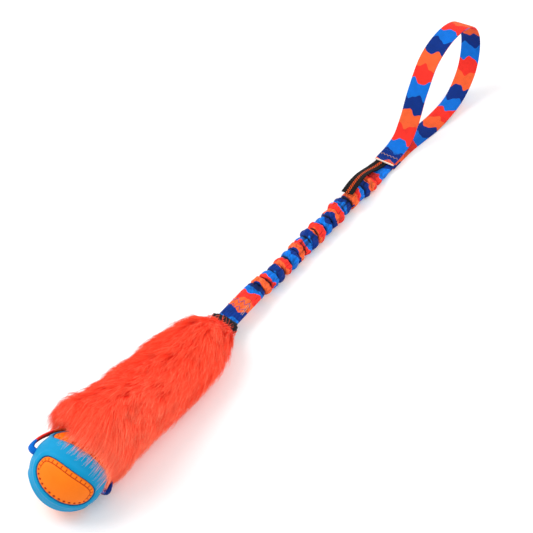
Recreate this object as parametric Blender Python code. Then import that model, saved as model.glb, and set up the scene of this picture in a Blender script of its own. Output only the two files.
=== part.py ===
"""Bungee ball tug: a rubber ball on a strap, a furry sleeve, a gathered bungee and a hand loop.

The toy lies on a table. +X runs from the ball to the hand loop, +Z is up, z = 0 is the table.
Sizes are in metres. A station is a distance along X from the ball's centre.
"""
import math

import bmesh
import bpy
import numpy as np
from mathutils import Matrix, Vector

MM = 0.001
GAP = 0.3 * MM                    # between pieces that touch

# Ball
BALL_RADIUS = 32.0 * MM           # rubber skin between the lips
LIP_RISE = 0.9 * MM               # how far the lips stand out of the skin
LIP_THICKNESS = 3.6 * MM
BALL_WALL = 5.0 * MM
HOLE_RADIUS = 4.0 * MM            # strap hole at each end of the bore, which runs along Y
PANELS = 4                        # panels round the bore, flat on one long side
PANEL_TURN = 42.5                 # degrees: first panel's middle, round the bore from -X
PANEL_HALF_LENGTH = 53.5          # degrees, along the bore
PANEL_RISE = (24.5, 3.0)          # degrees from its middle to the flat side, and that side's squareness
PANEL_FALL = (29.5, 2.2)          # the same for the round side
PANEL_LEAN = 5.5                  # degrees that it's turned round its own middle
PANEL_DEPTH = 2.0 * MM            # recess in the rubber
PANEL_SINK = 0.4 * MM             # panel face below the rubber skin

# Webbing
WEB_WIDTH = 22.0 * MM
WEB_THICKNESS = 1.6 * MM
BUNCH_RADIUS = 3.4 * MM           # strap folded up small where it runs through the ball
FOLD_HALF = (1.6 * MM, 3.8 * MM)  # half thickness and half height where it's folded beside the ball

# Strap loop that holds the ball
LOOP_PIVOT = 50.0 * MM            # station where its two legs are sewn to the core strap
LEG_CLEARANCE = 0.6 * MM          # between the ball's lips and the legs
CORE_LINE = (                     # core strap inside the sleeve: station and height
    (100.0 * MM, 30.0 * MM),
    (150.0 * MM, 23.0 * MM),
    (187.0 * MM, 19.5 * MM),
)
LOOP_TILT = 27.6                  # degrees: +Y side of the loop stands higher at the ball
BORE_TURN = 13.9                  # degrees: the ball's turn within the loop
TILT_START = 22.0 * MM            # stations between which the legs straighten up
TILT_END = 45.0 * MM

# Furry sleeve: station, half width, half height, wall and lift off the table, pile included
SLEEVE = (
    (34.0 * MM, 34.0 * MM, 40.0 * MM, 6.0 * MM, 0.0),             # mouth
    (55.0 * MM, 33.2 * MM, 37.2 * MM, 6.5 * MM, 0.0),             # behind the ball
    (85.0 * MM, 33.6 * MM, 32.4 * MM, 8.0 * MM, 0.0),             # belly
    (112.0 * MM, 34.0 * MM, 27.8 * MM, 8.0 * MM, 0.0),            # lying flatter
    (142.0 * MM, 34.0 * MM, 24.4 * MM, 7.5 * MM, 0.0),            # flattest
    (166.0 * MM, 31.7 * MM, 23.4 * MM, 7.0 * MM, 0.0),            # back
    (187.0 * MM, 27.2 * MM, 21.6 * MM, 6.0 * MM, 0.5 * MM),       # shoulder
    (203.0 * MM, 20.8 * MM, 16.2 * MM, 3.2 * MM, 3.0 * MM),       # gathered in
    (214.0 * MM, 15.2 * MM, 9.8 * MM, 2.0 * MM, 5.7 * MM),        # neck
)
LINING = 1.2 * MM
LINING_END = 190.0 * MM
FLAT_CUT = 0.5 * MM               # soft pieces are cut flat on the table, this deep

# Gathered cuff at the neck
CUFF_START = 209.0 * MM
CUFF_END = 222.0 * MM
CUFF_FLARE = 1.0 * MM
CUFF_PLEATS = 12
CUFF_SLACK = 1.0 * MM             # round the strap it holds

# Bungee
LEAD_PIVOT = 226.0 * MM           # where the webbing bends behind the cuff
TAB_HALF_WIDTH = 10.6 * MM
TAB_HALF_THICKNESS = 2.0 * MM
GATHER_START = 263.0 * MM
GATHER_END = 498.0 * MM
GATHER_PITCH = 11.7 * MM
GATHER_VALLEY = 8.0 * MM
GATHER_PEAK = 10.6 * MM
GATHER_RUFFLE = 1.6 * MM          # extra on the seam's side
SPREAD_START = 11.0 * MM          # length over which the flat ends open into a tube
SPREAD_END = 42.0 * MM
GATHER_SEAM = math.radians(-150)  # the seam's place round the tube, from +Y towards +Z
ELASTIC_RADIUS = 4.5 * MM
ELASTIC_FLAT = (6.8 * MM, 1.4 * MM)   # half width and half height where its ends are sewn in

# Sewn joint between bungee and hand loop, from the table up
HEAD_TAB_THICKNESS = 3.2 * MM
HEAD_SIDE = -1.2 * MM             # its middle line's Y
PLY_START = 507.0 * MM            # cut end of the upper ply
LOWER_PLY_START = 510.0 * MM
HANDLE_PIVOT = 531.0 * MM
PLY_END = HANDLE_PIVOT - 4.0 * MM # both plies stop short, so that the loop can swing
LABEL_END = 511.0 * MM
LABEL_WIDTH = 12.5 * MM
LABEL_THICKNESS = 0.8 * MM

# Label, before its sewn end: station, Y, height and roll in degrees, going over the gathers
LABEL_LINE = (
    (430.0 * MM, -3.0 * MM, 22.0 * MM, 0.0),
    (446.0 * MM, -1.0 * MM, 22.0 * MM, 8.0),
    (462.0 * MM, 1.0 * MM, 19.6 * MM, 16.0),
    (478.0 * MM, 2.4 * MM, 14.0 * MM, 14.0),
    (490.0 * MM, 2.4 * MM, 9.5 * MM, 6.0),
)

# Hand loop's middle line: X from the handle pivot, Y, height over the table and roll in degrees
HAND_LOOP = (
    (13.1 * MM, -1.4 * MM, 12.6 * MM, 0.0),
    (24.2 * MM, -1.2 * MM, 25.8 * MM, 0.0),
    (39.7 * MM, -1.2 * MM, 59.0 * MM, 0.0),
    (59.8 * MM, -2.0 * MM, 88.8 * MM, 0.0),
    (92.1 * MM, -4.4 * MM, 102.0 * MM, 2.0),
    (126.4 * MM, -6.1 * MM, 93.5 * MM, 3.0),
    (144.5 * MM, -6.7 * MM, 65.2 * MM, 4.0),
    (138.1 * MM, -9.3 * MM, 31.5 * MM, -3.0),
    (111.5 * MM, -10.8 * MM, 9.6 * MM, -11.0),
    (82.0 * MM, -9.8 * MM, 3.3 * MM, -6.0),
    (60.0 * MM, -7.7 * MM, 1.0 * MM, 0.0),
    (40.0 * MM, -5.0 * MM, 0.8 * MM, 0.0),
    (18.0 * MM, -2.2 * MM, 0.8 * MM, 0.0),
)

PART_NAME = "Bungee ball tug"
CUTTERS_NAME = "Cutters"

LIP_REACH = BALL_RADIUS + LIP_RISE
BALL_HEIGHT = LIP_REACH           # the ball rests on its lips
NECK_HEIGHT = SLEEVE[-1][2] - FLAT_CUT + SLEEVE[-1][4]
LYING_HEIGHT = GATHER_PEAK - FLAT_CUT
CORE_HALF = WEB_THICKNESS         # two plies of webbing sewn together
LOWER_PLY_TOP = WEB_THICKNESS
HEAD_TAB_LOW = LOWER_PLY_TOP + GAP
HEAD_TAB_HIGH = HEAD_TAB_LOW + HEAD_TAB_THICKNESS
UPPER_PLY_LOW = HEAD_TAB_HIGH + GAP + LABEL_THICKNESS + GAP
UPPER_PLY_HIGH = UPPER_PLY_LOW + WEB_THICKNESS
HANDLE_PIVOT_HEIGHT = (HEAD_TAB_LOW + HEAD_TAB_HIGH) / 2

# Bungee's middle line: station, Y and height
BUNGEE_LINE = (
    (GATHER_START, 0.0, NECK_HEIGHT),
    (GATHER_START + 30 * MM, 0.0, 12.0 * MM),
    (335.0 * MM, -0.6 * MM, LYING_HEIGHT),
    (365.0 * MM, -1.4 * MM, LYING_HEIGHT),
    (400.0 * MM, -2.6 * MM, LYING_HEIGHT),
    (440.0 * MM, -3.1 * MM, LYING_HEIGHT),
    (460.0 * MM, -3.8 * MM, 9.0 * MM),
    (480.0 * MM, -3.4 * MM, 6.0 * MM),
    (GATHER_END, HEAD_SIDE, HANDLE_PIVOT_HEIGHT),
)


def smooth_route(points, step):
    """A smooth curve through points of any number of values, with a point at least every step."""
    points = np.array(points, dtype=float)
    lengths = np.linalg.norm(np.diff(points, axis=0), axis=1)
    slopes = np.diff(points, axis=0) / lengths[:, None]
    tangents = np.empty_like(points)
    tangents[0] = slopes[0]
    tangents[-1] = slopes[-1]
    before = lengths[:-1, None]
    after = lengths[1:, None]
    tangents[1:-1] = (slopes[:-1] * after + slopes[1:] * before) / (before + after)
    route = []
    for i, length in enumerate(lengths):
        parts = max(1, math.ceil(length / step))
        for k in range(parts):
            t = k / parts
            start = points[i] * (1 + 2 * t) * (1 - t) ** 2 + tangents[i] * length * t * (1 - t) ** 2
            end = points[i + 1] * t * t * (3 - 2 * t) - tangents[i + 1] * length * t * t * (1 - t)
            route.append(start + end)
    route.append(points[-1])
    return np.array(route)


def rolled_route(points, step):
    """Smooths a route whose fourth value is a roll or a share, and so not a distance."""
    scale = np.array((1, 1, 1, 1e-5))
    return smooth_route(np.array(points) * scale, step) / scale


def ease(value):
    """Zero below 0, one above 1, and a smooth rise between."""
    value = min(1.0, max(0.0, value))
    return value * value * (3 - 2 * value)


def mix(low, high, share):
    return low + (high - low) * share


def ring(centre, side, rise, half_side, half_rise, count, power=2.0):
    """Points of an oval round centre. A power over 2 squares it off."""
    points = []
    for k in range(count):
        angle = math.tau * (k + 0.5) / count
        across = math.copysign(abs(math.cos(angle)) ** (2 / power), math.cos(angle))
        along = math.copysign(abs(math.sin(angle)) ** (2 / power), math.sin(angle))
        points.append(centre + side * (half_side * across) + rise * (half_rise * along))
    return points


def on_table(points):
    """Cuts a ring flat where it would go through the table."""
    return [Vector((p.x, p.y, max(p.z, 0.0))) for p in points]


def skin(mesh, rings):
    """Joins each ring to the next with quads, and returns the rings' vertices."""
    rows = [[mesh.verts.new(p) for p in points] for points in rings]
    for one, two in zip(rows, rows[1:]):
        for k in range(len(one)):
            n = (k + 1) % len(one)
            mesh.faces.new((one[k], one[n], two[n], two[k]))
    return rows


def finish(mesh, name, look):
    """Makes the object, moved so that the model is centred over its origin."""
    bmesh.ops.recalc_face_normals(mesh, faces=mesh.faces)
    data = bpy.data.meshes.new(name)
    mesh.to_mesh(data)
    mesh.free()
    obj = bpy.data.objects.new(name, data)
    bpy.data.collections[PART_NAME].objects.link(obj)
    obj.location.x = BALL_X
    data.materials.append(look)
    data.shade_smooth()
    data.set_sharp_from_angle(angle=math.radians(35))
    return obj


def solid_loft(name, rings, look):
    mesh = bmesh.new()
    rows = skin(mesh, rings)
    mesh.faces.new(reversed(rows[0]))
    mesh.faces.new(rows[-1])
    return finish(mesh, name, look)


def hollow_loft(name, outer, inner, look):
    """A tube between two lofts whose first and last rings are joined."""
    mesh = bmesh.new()
    outside = skin(mesh, outer)
    inside = skin(mesh, inner)
    for one, two in ((outside[0], inside[0]), (outside[-1], inside[-1])):
        for k in range(len(one)):
            n = (k + 1) % len(one)
            mesh.faces.new((one[k], one[n], two[n], two[k]))
    return finish(mesh, name, look)


def look(name, colour, roughness):
    material = bpy.data.materials.new(name)
    material.use_nodes = True
    shader = material.node_tree.nodes["Principled BSDF"]
    shader.inputs["Base Color"].default_value = (*colour, 1)
    shader.inputs["Roughness"].default_value = roughness
    shader.inputs["Metallic"].default_value = 0.0
    material.diffuse_color = (*colour, 1)
    return material


def make_cutter(obj):
    """Moves an object to the cutters' collection and hides it from renders."""
    for collection in obj.users_collection:
        collection.objects.unlink(obj)
    bpy.data.collections[CUTTERS_NAME].objects.link(obj)
    obj.hide_render = True
    obj.display_type = "WIRE"
    return obj


def boolean(obj, operation, other):
    step = obj.modifiers.new(other.name, "BOOLEAN")
    step.operation = operation
    step.object = other


# Ball

BALL_TURN = (Matrix.Rotation(math.radians(LOOP_TILT), 3, "X")
             @ Matrix.Rotation(math.radians(BORE_TURN), 3, "Z"))


def bean_outline(grow, count=24):
    """Outline of a panel, flat on one side, in degrees along the bore and across it, grown by some degrees."""
    outline = []
    for k in range(count):
        angle = math.tau * (k + 0.5) / count
        reach, power = PANEL_RISE if angle < math.pi else PANEL_FALL
        along = math.copysign(abs(math.cos(angle)) ** (2 / power), math.cos(angle))
        across = math.copysign(abs(math.sin(angle)) ** (2 / power), math.sin(angle))
        outward = Vector((abs(along) ** (power - 1) * math.copysign(1, along) / PANEL_HALF_LENGTH,
                          abs(across) ** (power - 1) * math.copysign(1, across) / reach)).normalized()
        point = Vector((along * PANEL_HALF_LENGTH, across * reach)) + outward * grow
        point.rotate(Matrix.Rotation(math.radians(PANEL_LEAN), 2))
        outline.append((point.x, point.y))
    return outline


def on_ball(along, across, radius, turn):
    """The point of the ball's sphere that lies so many degrees from a panel's middle."""
    distance = math.radians(math.hypot(along, across))
    middle = Vector((-math.cos(turn), 0, math.sin(turn)))
    up = Vector((math.sin(turn), 0, math.cos(turn)))
    heading = Vector((0, math.radians(along), 0)) + up * math.radians(across)
    if distance > 0:
        heading /= distance
    return BALL_TURN @ (middle * math.cos(distance) + heading * math.sin(distance)) * radius


def bean_block(grow, low, high, turn):
    """A closed block with a panel's outline between two radii."""
    outline = bean_outline(grow)
    mesh = bmesh.new()
    rows = []
    for radius in (low, high):
        shrunk = [[on_ball(a * k, b * k, radius, turn) for a, b in outline] for k in (1, 0.75, 0.5, 0.25)]
        layer = skin(mesh, shrunk)
        tip = mesh.verts.new(on_ball(0, 0, radius, turn))
        for k, corner in enumerate(layer[-1]):
            mesh.faces.new((corner, layer[-1][(k + 1) % len(outline)], tip))
        rows.append(layer[0])
    for k in range(len(outline)):
        n = (k + 1) % len(outline)
        mesh.faces.new((rows[0][k], rows[0][n], rows[1][n], rows[1][k]))
    for vertex in mesh.verts:
        vertex.co.z += BALL_HEIGHT
    return mesh


def lip_ring(turn, name):
    """A round bead that follows a panel's outline."""
    grow = math.degrees((LIP_THICKNESS / 2 + 0.25 * MM) / BALL_RADIUS)
    curve = bpy.data.curves.new(name, "CURVE")
    curve.dimensions = "3D"
    curve.bevel_depth = LIP_THICKNESS / 2
    curve.bevel_resolution = 2
    outline = bean_outline(grow)
    spline = curve.splines.new("POLY")
    spline.points.add(len(outline) - 1)
    spline.use_cyclic_u = True
    for point, (along, across) in zip(spline.points, outline):
        place = on_ball(along, across, LIP_REACH - LIP_THICKNESS / 2, turn)
        point.co = (place.x, place.y, place.z + BALL_HEIGHT, 1)
    guide = bpy.data.objects.new(name + "_curve", curve)
    bpy.data.collections[CUTTERS_NAME].objects.link(guide)
    bpy.context.view_layer.update()
    shape = guide.evaluated_get(bpy.context.evaluated_depsgraph_get())
    lip = bpy.data.objects.new(name, bpy.data.meshes.new_from_object(shape))
    bpy.data.collections[PART_NAME].objects.link(lip)
    bpy.data.objects.remove(guide)
    lip.location.x = BALL_X
    return make_cutter(lip)


def sphere(name, radius, segments, rings):
    bpy.ops.mesh.primitive_uv_sphere_add(segments=segments, ring_count=rings, radius=radius)
    obj = bpy.context.object
    obj.name = name
    obj.data.transform(BALL_TURN.to_4x4() @ Matrix.Rotation(math.pi / 2, 4, "X"))
    obj.location = (BALL_X, 0, BALL_HEIGHT)
    return obj


def make_ball(rubber, orange):
    shell = sphere("ball_shell", BALL_RADIUS, 36, 18)
    for collection in shell.users_collection:
        collection.objects.unlink(shell)
    bpy.data.collections[PART_NAME].objects.link(shell)
    shell.data.materials.append(rubber)
    shell.data.shade_smooth()
    turns = [math.radians(PANEL_TURN + 360 * k / PANELS) for k in range(PANELS)]
    for number, turn in enumerate(turns, 1):
        boolean(shell, "UNION", lip_ring(turn, f"lip_{number}"))
    for number, turn in enumerate(turns, 1):
        block = bean_block(0, BALL_RADIUS - PANEL_DEPTH, LIP_REACH + 2 * MM, turn)
        boolean(shell, "DIFFERENCE", make_cutter(finish(block, f"recess_{number}", rubber)))
    boolean(shell, "DIFFERENCE", make_cutter(sphere("hollow", BALL_RADIUS - BALL_WALL, 24, 12)))
    bpy.ops.mesh.primitive_cylinder_add(vertices=20, radius=HOLE_RADIUS, depth=4 * BALL_RADIUS)
    bore = bpy.context.object
    bore.name = "bore"
    bore.data.transform(BALL_TURN.to_4x4() @ Matrix.Rotation(math.pi / 2, 4, "X"))
    bore.location = (BALL_X, 0, BALL_HEIGHT)
    boolean(shell, "DIFFERENCE", make_cutter(bore))

    seat = -math.degrees(GAP / BALL_RADIUS)
    for number, turn in enumerate(turns, 1):
        low = BALL_RADIUS - PANEL_DEPTH + 1.4 * GAP
        block = bean_block(seat, low, BALL_RADIUS - PANEL_SINK, turn)
        finish(block, f"ball_panel_{number}", orange)


# Webbing

def strap_side(side):
    """Half the strap in its own plane, from the ball's middle to the pivot. The fourth value is 0
    where it's bunched up, 1 where it's folded double and 2 where it's flat."""
    leg = LIP_REACH + LEG_CLEARANCE + FOLD_HALF[0]
    end = LOOP_PIVOT - CORE_HALF - GAP
    outside = BALL_RADIUS + 1.5 * MM
    leaves = 90 + side * BORE_TURN
    polar = [
        (leaves, 0.0, 0.0),
        (leaves, BALL_RADIUS - 1.5 * MM, 0.0),
        (leaves, outside, 0.1),
        (leaves - 2.2, outside + 2.3 * MM, 0.3),
        (leaves - 8, outside + 2.9 * MM, 0.7),
        (leaves - 17, leg + 0.8 * MM, 1.0),
    ]
    last = leaves - 17
    arcs = math.ceil((last - 32) / 16)
    polar += [(mix(last, 32, (k + 1) / arcs), leg, 1.0) for k in range(arcs)]
    points = []
    for degrees, radius, opened in polar:
        angle = math.radians(degrees)
        points.append((radius * math.cos(angle), side * radius * math.sin(angle), 0, opened))
    x, y, z, opened = points[-1]
    points.append((mix(x, end, 0.5), y * 0.45, 0, 1.35))
    points.append((end - 5 * MM, side * 2.4 * WEB_THICKNESS, 0, 1.8))
    points.append((end, side * (WEB_THICKNESS + GAP) / 2, 0, 2))
    return rolled_route(points, 4.5 * MM)


def make_ball_strap(webbing):
    """The strap runs through the ball, bends back and stands on edge to the sleeve."""
    path = np.concatenate((strap_side(-1)[::-1], strap_side(1)[1:]))
    tangents = np.gradient(path[:, :3], axis=0)
    rings = []
    for place, heading in zip(path, tangents):
        heading = Vector(heading).normalized()
        side = Vector((-heading.y, heading.x, 0))
        folded, opened = ease(place[3]), ease(place[3] - 1)
        thick = mix(mix(BUNCH_RADIUS, FOLD_HALF[0], folded), WEB_THICKNESS / 2, opened)
        tall = mix(mix(BUNCH_RADIUS, FOLD_HALF[1], folded), WEB_WIDTH / 2, opened)
        upright = ease((place[0] - TILT_START) / (TILT_END - TILT_START))
        tilt = Matrix.Rotation(math.radians(LOOP_TILT) * (1 - upright), 3, "X")
        middle = Vector(place[:3])
        section = ring(middle, side, Vector((0, 0, 1)), thick, tall, 8, mix(2, 6, opened))
        rings.append([tilt @ corner + Vector((0, 0, BALL_HEIGHT)) for corner in section])
    return solid_loft("ball_strap", rings, webbing)


def web_ring(centre, width_way, face_way, half_width, half_thickness):
    """Four corners of a flat strap."""
    corners = ((1, 1), (-1, 1), (-1, -1), (1, -1))
    return [centre + width_way * (half_width * a) + face_way * (half_thickness * b) for a, b in corners]


def nose(pivot, out, width_way, face_way, half_width, half_thickness):
    """Sections of a strap's end that is rounded about a pivot, from the pivot outwards."""
    rings = []
    for degrees in (0, 25, 50, 80):
        angle = math.radians(degrees)
        centre = pivot + out * (half_thickness * math.sin(angle))
        thin = half_thickness * math.cos(angle)
        rings.append(web_ring(centre, width_way, face_way, half_width, thin))
    return rings


def make_core_strap(webbing):
    """Two plies from the ball's strap to the neck, turning from on edge to flat."""
    stations = [
        (LOOP_PIVOT, BALL_HEIGHT),
        *CORE_LINE,
        (CUFF_START - 6.0 * MM, NECK_HEIGHT + 1.0 * MM),
        (CUFF_START, NECK_HEIGHT),
        (LEAD_PIVOT, NECK_HEIGHT),
    ]
    route = smooth_route(stations, 9 * MM)
    across, upward = Vector((0, 1, 0)), Vector((0, 0, 1))
    start = Vector((LOOP_PIVOT, 0, BALL_HEIGHT))
    rings = nose(start, Vector((-1, 0, 0)), upward, -across, WEB_WIDTH / 2, CORE_HALF)[::-1]
    for station, height in route[1:-1]:
        turned = math.pi / 2 * (1 - ease((station - 60 * MM) / (115 * MM)))
        width_way = Vector((0, math.cos(turned), math.sin(turned)))
        face_way = Vector((0, -math.sin(turned), math.cos(turned)))
        centre = Vector((station, 0, height))
        rings.append(web_ring(centre, width_way, face_way, WEB_WIDTH / 2, CORE_HALF))
    end = Vector((LEAD_PIVOT, 0, NECK_HEIGHT))
    rings += nose(end, Vector((1, 0, 0)), across, upward, WEB_WIDTH / 2, CORE_HALF)
    return solid_loft("core_strap", rings, webbing)


# Sleeve

def sleeve_section(row, inset):
    """An oval section of the sleeve, or of what lies inset inside it."""
    station, half_width, half_height, wall, lift = row
    centre = Vector((station, 0, half_height - FLAT_CUT + lift))
    points = ring(centre, Vector((0, 1, 0)), Vector((0, 0, 1)),
                  half_width - inset, half_height - inset, 24)
    return on_table(points)


def make_sleeve(fur, knit):
    profile = smooth_route(SLEEVE, 12 * MM)
    outer = [sleeve_section(row, 0) for row in profile]
    inner = [sleeve_section(row, row[3]) for row in profile]
    hollow_loft("fur_sleeve", outer, inner, fur)

    lined = [row for row in profile if row[0] < LINING_END]
    outer = [sleeve_section(row, row[3] + GAP) for row in lined]
    inner = [sleeve_section(row, row[3] + GAP + LINING) for row in lined]
    hollow_loft("sleeve_lining", outer, inner, knit)


def make_cuff(knit):
    """Gathered knit round the strap, tucked into the fur's neck."""
    neck_station, neck_width, neck_height, neck_wall, neck_lift = SLEEVE[-1]
    inside_width = neck_width - neck_wall - GAP
    inside_height = neck_height - neck_wall - GAP
    flare = [
        (CUFF_START, -0.4 * MM),
        (neck_station, -0.2 * MM),
        (neck_station + 2.0 * MM, 0.6 * CUFF_FLARE),
        (CUFF_END - 2.0 * MM, CUFF_FLARE),
        (CUFF_END, 0.3 * CUFF_FLARE),
    ]
    count = 4 * CUFF_PLEATS
    outer = []
    inner = []
    for station, grow in flare:
        centre = Vector((station, 0, NECK_HEIGHT))
        pleat = max(0.0, grow) * 0.7
        points = ring(centre, Vector((0, 1, 0)), Vector((0, 0, 1)),
                      inside_width + grow, inside_height + grow, count)
        for k in range(0, count, 4):
            points[k] = points[k].lerp(centre, pleat / inside_height)
        outer.append(points)
        slot = ring(centre, Vector((0, 1, 0)), Vector((0, 0, 1)),
                    WEB_WIDTH / 2 + CUFF_SLACK, CORE_HALF + 0.6 * CUFF_SLACK, count, 6)
        inner.append(slot)
    hollow_loft("neck_cuff", outer, inner, knit)


# Bungee

def bungee_spread(station):
    """How far the bungee has opened from its flat sewn ends, from 0 to 1."""
    opening = ease((station - GATHER_START) / SPREAD_START)
    return min(opening, ease((GATHER_END - station) / SPREAD_END))


def bungee_middle(station):
    route = smooth_route(BUNGEE_LINE, 3 * MM)
    return Vector((station, *(np.interp(station, route[:, 0], route[:, k]) for k in (1, 2))))


def gather_radius(station, angle):
    """Radius of the gathered cloth: a valley and a puff in each pitch, leaning to and fro."""
    number = (station - GATHER_START) / GATHER_PITCH
    lean = 0.2 * math.sin(0.83 * number + 1.0) * math.cos(angle - 0.6 * number)
    puff = (0.5 - 0.5 * math.cos(math.tau * (number + lean))) ** 0.8
    fullness = 0.9 + 0.1 * math.sin(1.7 * number)
    seam = max(0.0, math.cos(angle - GATHER_SEAM)) ** 3 * (0.6 + 0.4 * math.sin(2.3 * number))
    return mix(GATHER_VALLEY, GATHER_PEAK, puff * fullness) + GATHER_RUFFLE * seam * puff


def make_bungee(webbing, rubber):
    count = 16
    gathers = round((GATHER_END - GATHER_START) / GATHER_PITCH)
    stations = np.linspace(GATHER_START, GATHER_END, gathers * 4 + 1)
    outer = []
    for station in stations:
        spread = bungee_spread(station)
        middle = bungee_middle(station)
        points = []
        for k in range(count):
            angle = math.tau * (k + 0.5) / count
            radius = gather_radius(station, angle)
            half_width = mix(TAB_HALF_WIDTH, radius, spread)
            half_height = mix(0.9 * HEAD_TAB_THICKNESS, radius, spread)
            across = half_width * math.cos(angle)
            points.append(middle + Vector((0, across, half_height * math.sin(angle))))
        outer.append(on_table(points))

    def core_ring(station, inset, sides):
        spread = bungee_spread(station)
        half_width = mix(ELASTIC_FLAT[0], ELASTIC_RADIUS, spread) - inset
        half_height = mix(ELASTIC_FLAT[1], ELASTIC_RADIUS, spread) - inset
        return ring(bungee_middle(station), Vector((0, 1, 0)), Vector((0, 0, 1)),
                    half_width, half_height, sides)

    bore_stations = [s for k, s in enumerate(stations) if k % 4 == 0 or k < 6 or k > len(stations) - 14]
    bore = [core_ring(station, -GAP, count) for station in bore_stations]
    hollow_loft("bungee_cover", outer, bore, webbing)
    solid_loft("elastic_core", [core_ring(s, 0, count) for s in bore_stations], rubber)


def make_tail_tab(webbing):
    """Flat sewn end of the printed tube, between the cuff and the gathers."""
    start = LEAD_PIVOT + CORE_HALF + GAP
    end = GATHER_START - GAP
    shape = [
        (start, TAB_HALF_WIDTH, 0.8 * TAB_HALF_THICKNESS),
        (start + 3 * MM, TAB_HALF_WIDTH, TAB_HALF_THICKNESS),
        (end - 12 * MM, TAB_HALF_WIDTH, TAB_HALF_THICKNESS),
        (end - 4 * MM, TAB_HALF_WIDTH, 1.3 * TAB_HALF_THICKNESS),
        (end, 0.97 * TAB_HALF_WIDTH, 1.45 * TAB_HALF_THICKNESS),
    ]
    rings = []
    for station, half_width, half_height in shape:
        centre = Vector((station, 0, NECK_HEIGHT))
        rings.append(ring(centre, Vector((0, 1, 0)), Vector((0, 0, 1)),
                          half_width, half_height, 16, 4))
    solid_loft("tail_tab", rings, webbing)


# Sewn joint and hand loop

def make_ply(name, start, low, webbing):
    """One flat ply of webbing in the sewn joint."""
    rings = []
    for station in (start, PLY_END):
        centre = Vector((station, HEAD_SIDE, low + WEB_THICKNESS / 2))
        rings.append(web_ring(centre, Vector((0, 1, 0)), Vector((0, 0, 1)),
                              WEB_WIDTH / 2, WEB_THICKNESS / 2))
    solid_loft(name, rings, webbing)


def make_sewn_joint(webbing, label_cloth):
    across, upward = Vector((0, 1, 0)), Vector((0, 0, 1))
    start = Vector((GATHER_END + GAP, HEAD_SIDE, HANDLE_PIVOT_HEIGHT))
    pivot = Vector((HANDLE_PIVOT, HEAD_SIDE, HANDLE_PIVOT_HEIGHT))
    half_height = HEAD_TAB_THICKNESS / 2
    rings = [web_ring(start, across, upward, TAB_HALF_WIDTH, half_height)]
    rings += nose(pivot, Vector((1, 0, 0)), across, upward, TAB_HALF_WIDTH, half_height)
    solid_loft("head_tab", rings, webbing)
    make_ply("handle_upper_ply", PLY_START, UPPER_PLY_LOW, webbing)
    make_ply("handle_lower_ply", LOWER_PLY_START, 0.0, webbing)

    sewn = HEAD_TAB_HIGH + GAP + LABEL_THICKNESS / 2
    points = [
        *LABEL_LINE,
        (PLY_START - 5 * MM, 2.2 * MM, sewn + 0.5 * MM, 0),
        (PLY_START - 1.5 * MM, 2.0 * MM, sewn, 0),
        (LABEL_END, 2.0 * MM, sewn, 0),
    ]
    route = rolled_route(points, 6 * MM)
    solid_loft("side_label", strap_rings(route, LABEL_WIDTH, LABEL_THICKNESS), label_cloth)


def strap_rings(route, width, thickness):
    """Sections of a flat strap that lies across Y and rolls about its route."""
    rings = []
    for place, heading in zip(route, np.gradient(route[:, :3], axis=0)):
        heading = Vector(heading).normalized()
        width_way = (Vector((0, 1, 0)) - heading * heading.y).normalized()
        width_way.rotate(Matrix.Rotation(-math.radians(place[3]), 3, heading))
        face_way = width_way.cross(heading)
        rings.append(web_ring(Vector(place[:3]), width_way, face_way, width / 2, thickness / 2))
    return rings


def hand_loop_route():
    """Middle line of the hand loop, out from the pivot over the top and back along the table."""
    start = HANDLE_PIVOT + HEAD_TAB_THICKNESS / 2 + GAP
    apart = (WEB_THICKNESS + GAP) / 2
    top = (start, HEAD_SIDE, HANDLE_PIVOT_HEIGHT + apart, 0)
    top_next = (start + 2 * MM, HEAD_SIDE, HANDLE_PIVOT_HEIGHT + apart + 0.5 * MM, 0)
    low_next = (start + 3 * MM, HEAD_SIDE, HANDLE_PIVOT_HEIGHT - apart - 0.4 * MM, 0)
    low = (start, HEAD_SIDE, HANDLE_PIVOT_HEIGHT - apart, 0)
    shape = [(HANDLE_PIVOT + x, y, z, roll) for x, y, z, roll in HAND_LOOP]
    route = rolled_route([top, top_next, *shape, low_next, low], 7 * MM)
    route[:, 2] = np.maximum(route[:, 2], WEB_THICKNESS / 2)
    return route


def make_hand_loop(webbing):
    rings = strap_rings(hand_loop_route(), WEB_WIDTH, WEB_THICKNESS)
    solid_loft("handle_loop", [on_table(corners) for corners in rings], webbing)


def ball_place():
    """X of the ball's centre that puts the whole toy's middle over the origin."""
    loop_end = hand_loop_route()[:, 0].max() + WEB_THICKNESS / 2
    return (LIP_REACH - loop_end) / 2


BALL_X = ball_place()


def centre_sideways():
    """Moves every piece so that the widest ones reach as far to each side of the X axis."""
    pieces = bpy.data.collections[PART_NAME].objects
    sides = [vertex.co.y for piece in pieces for vertex in piece.data.vertices]
    for obj in bpy.data.objects:
        obj.location.y -= (min(sides) + max(sides)) / 2


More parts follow.
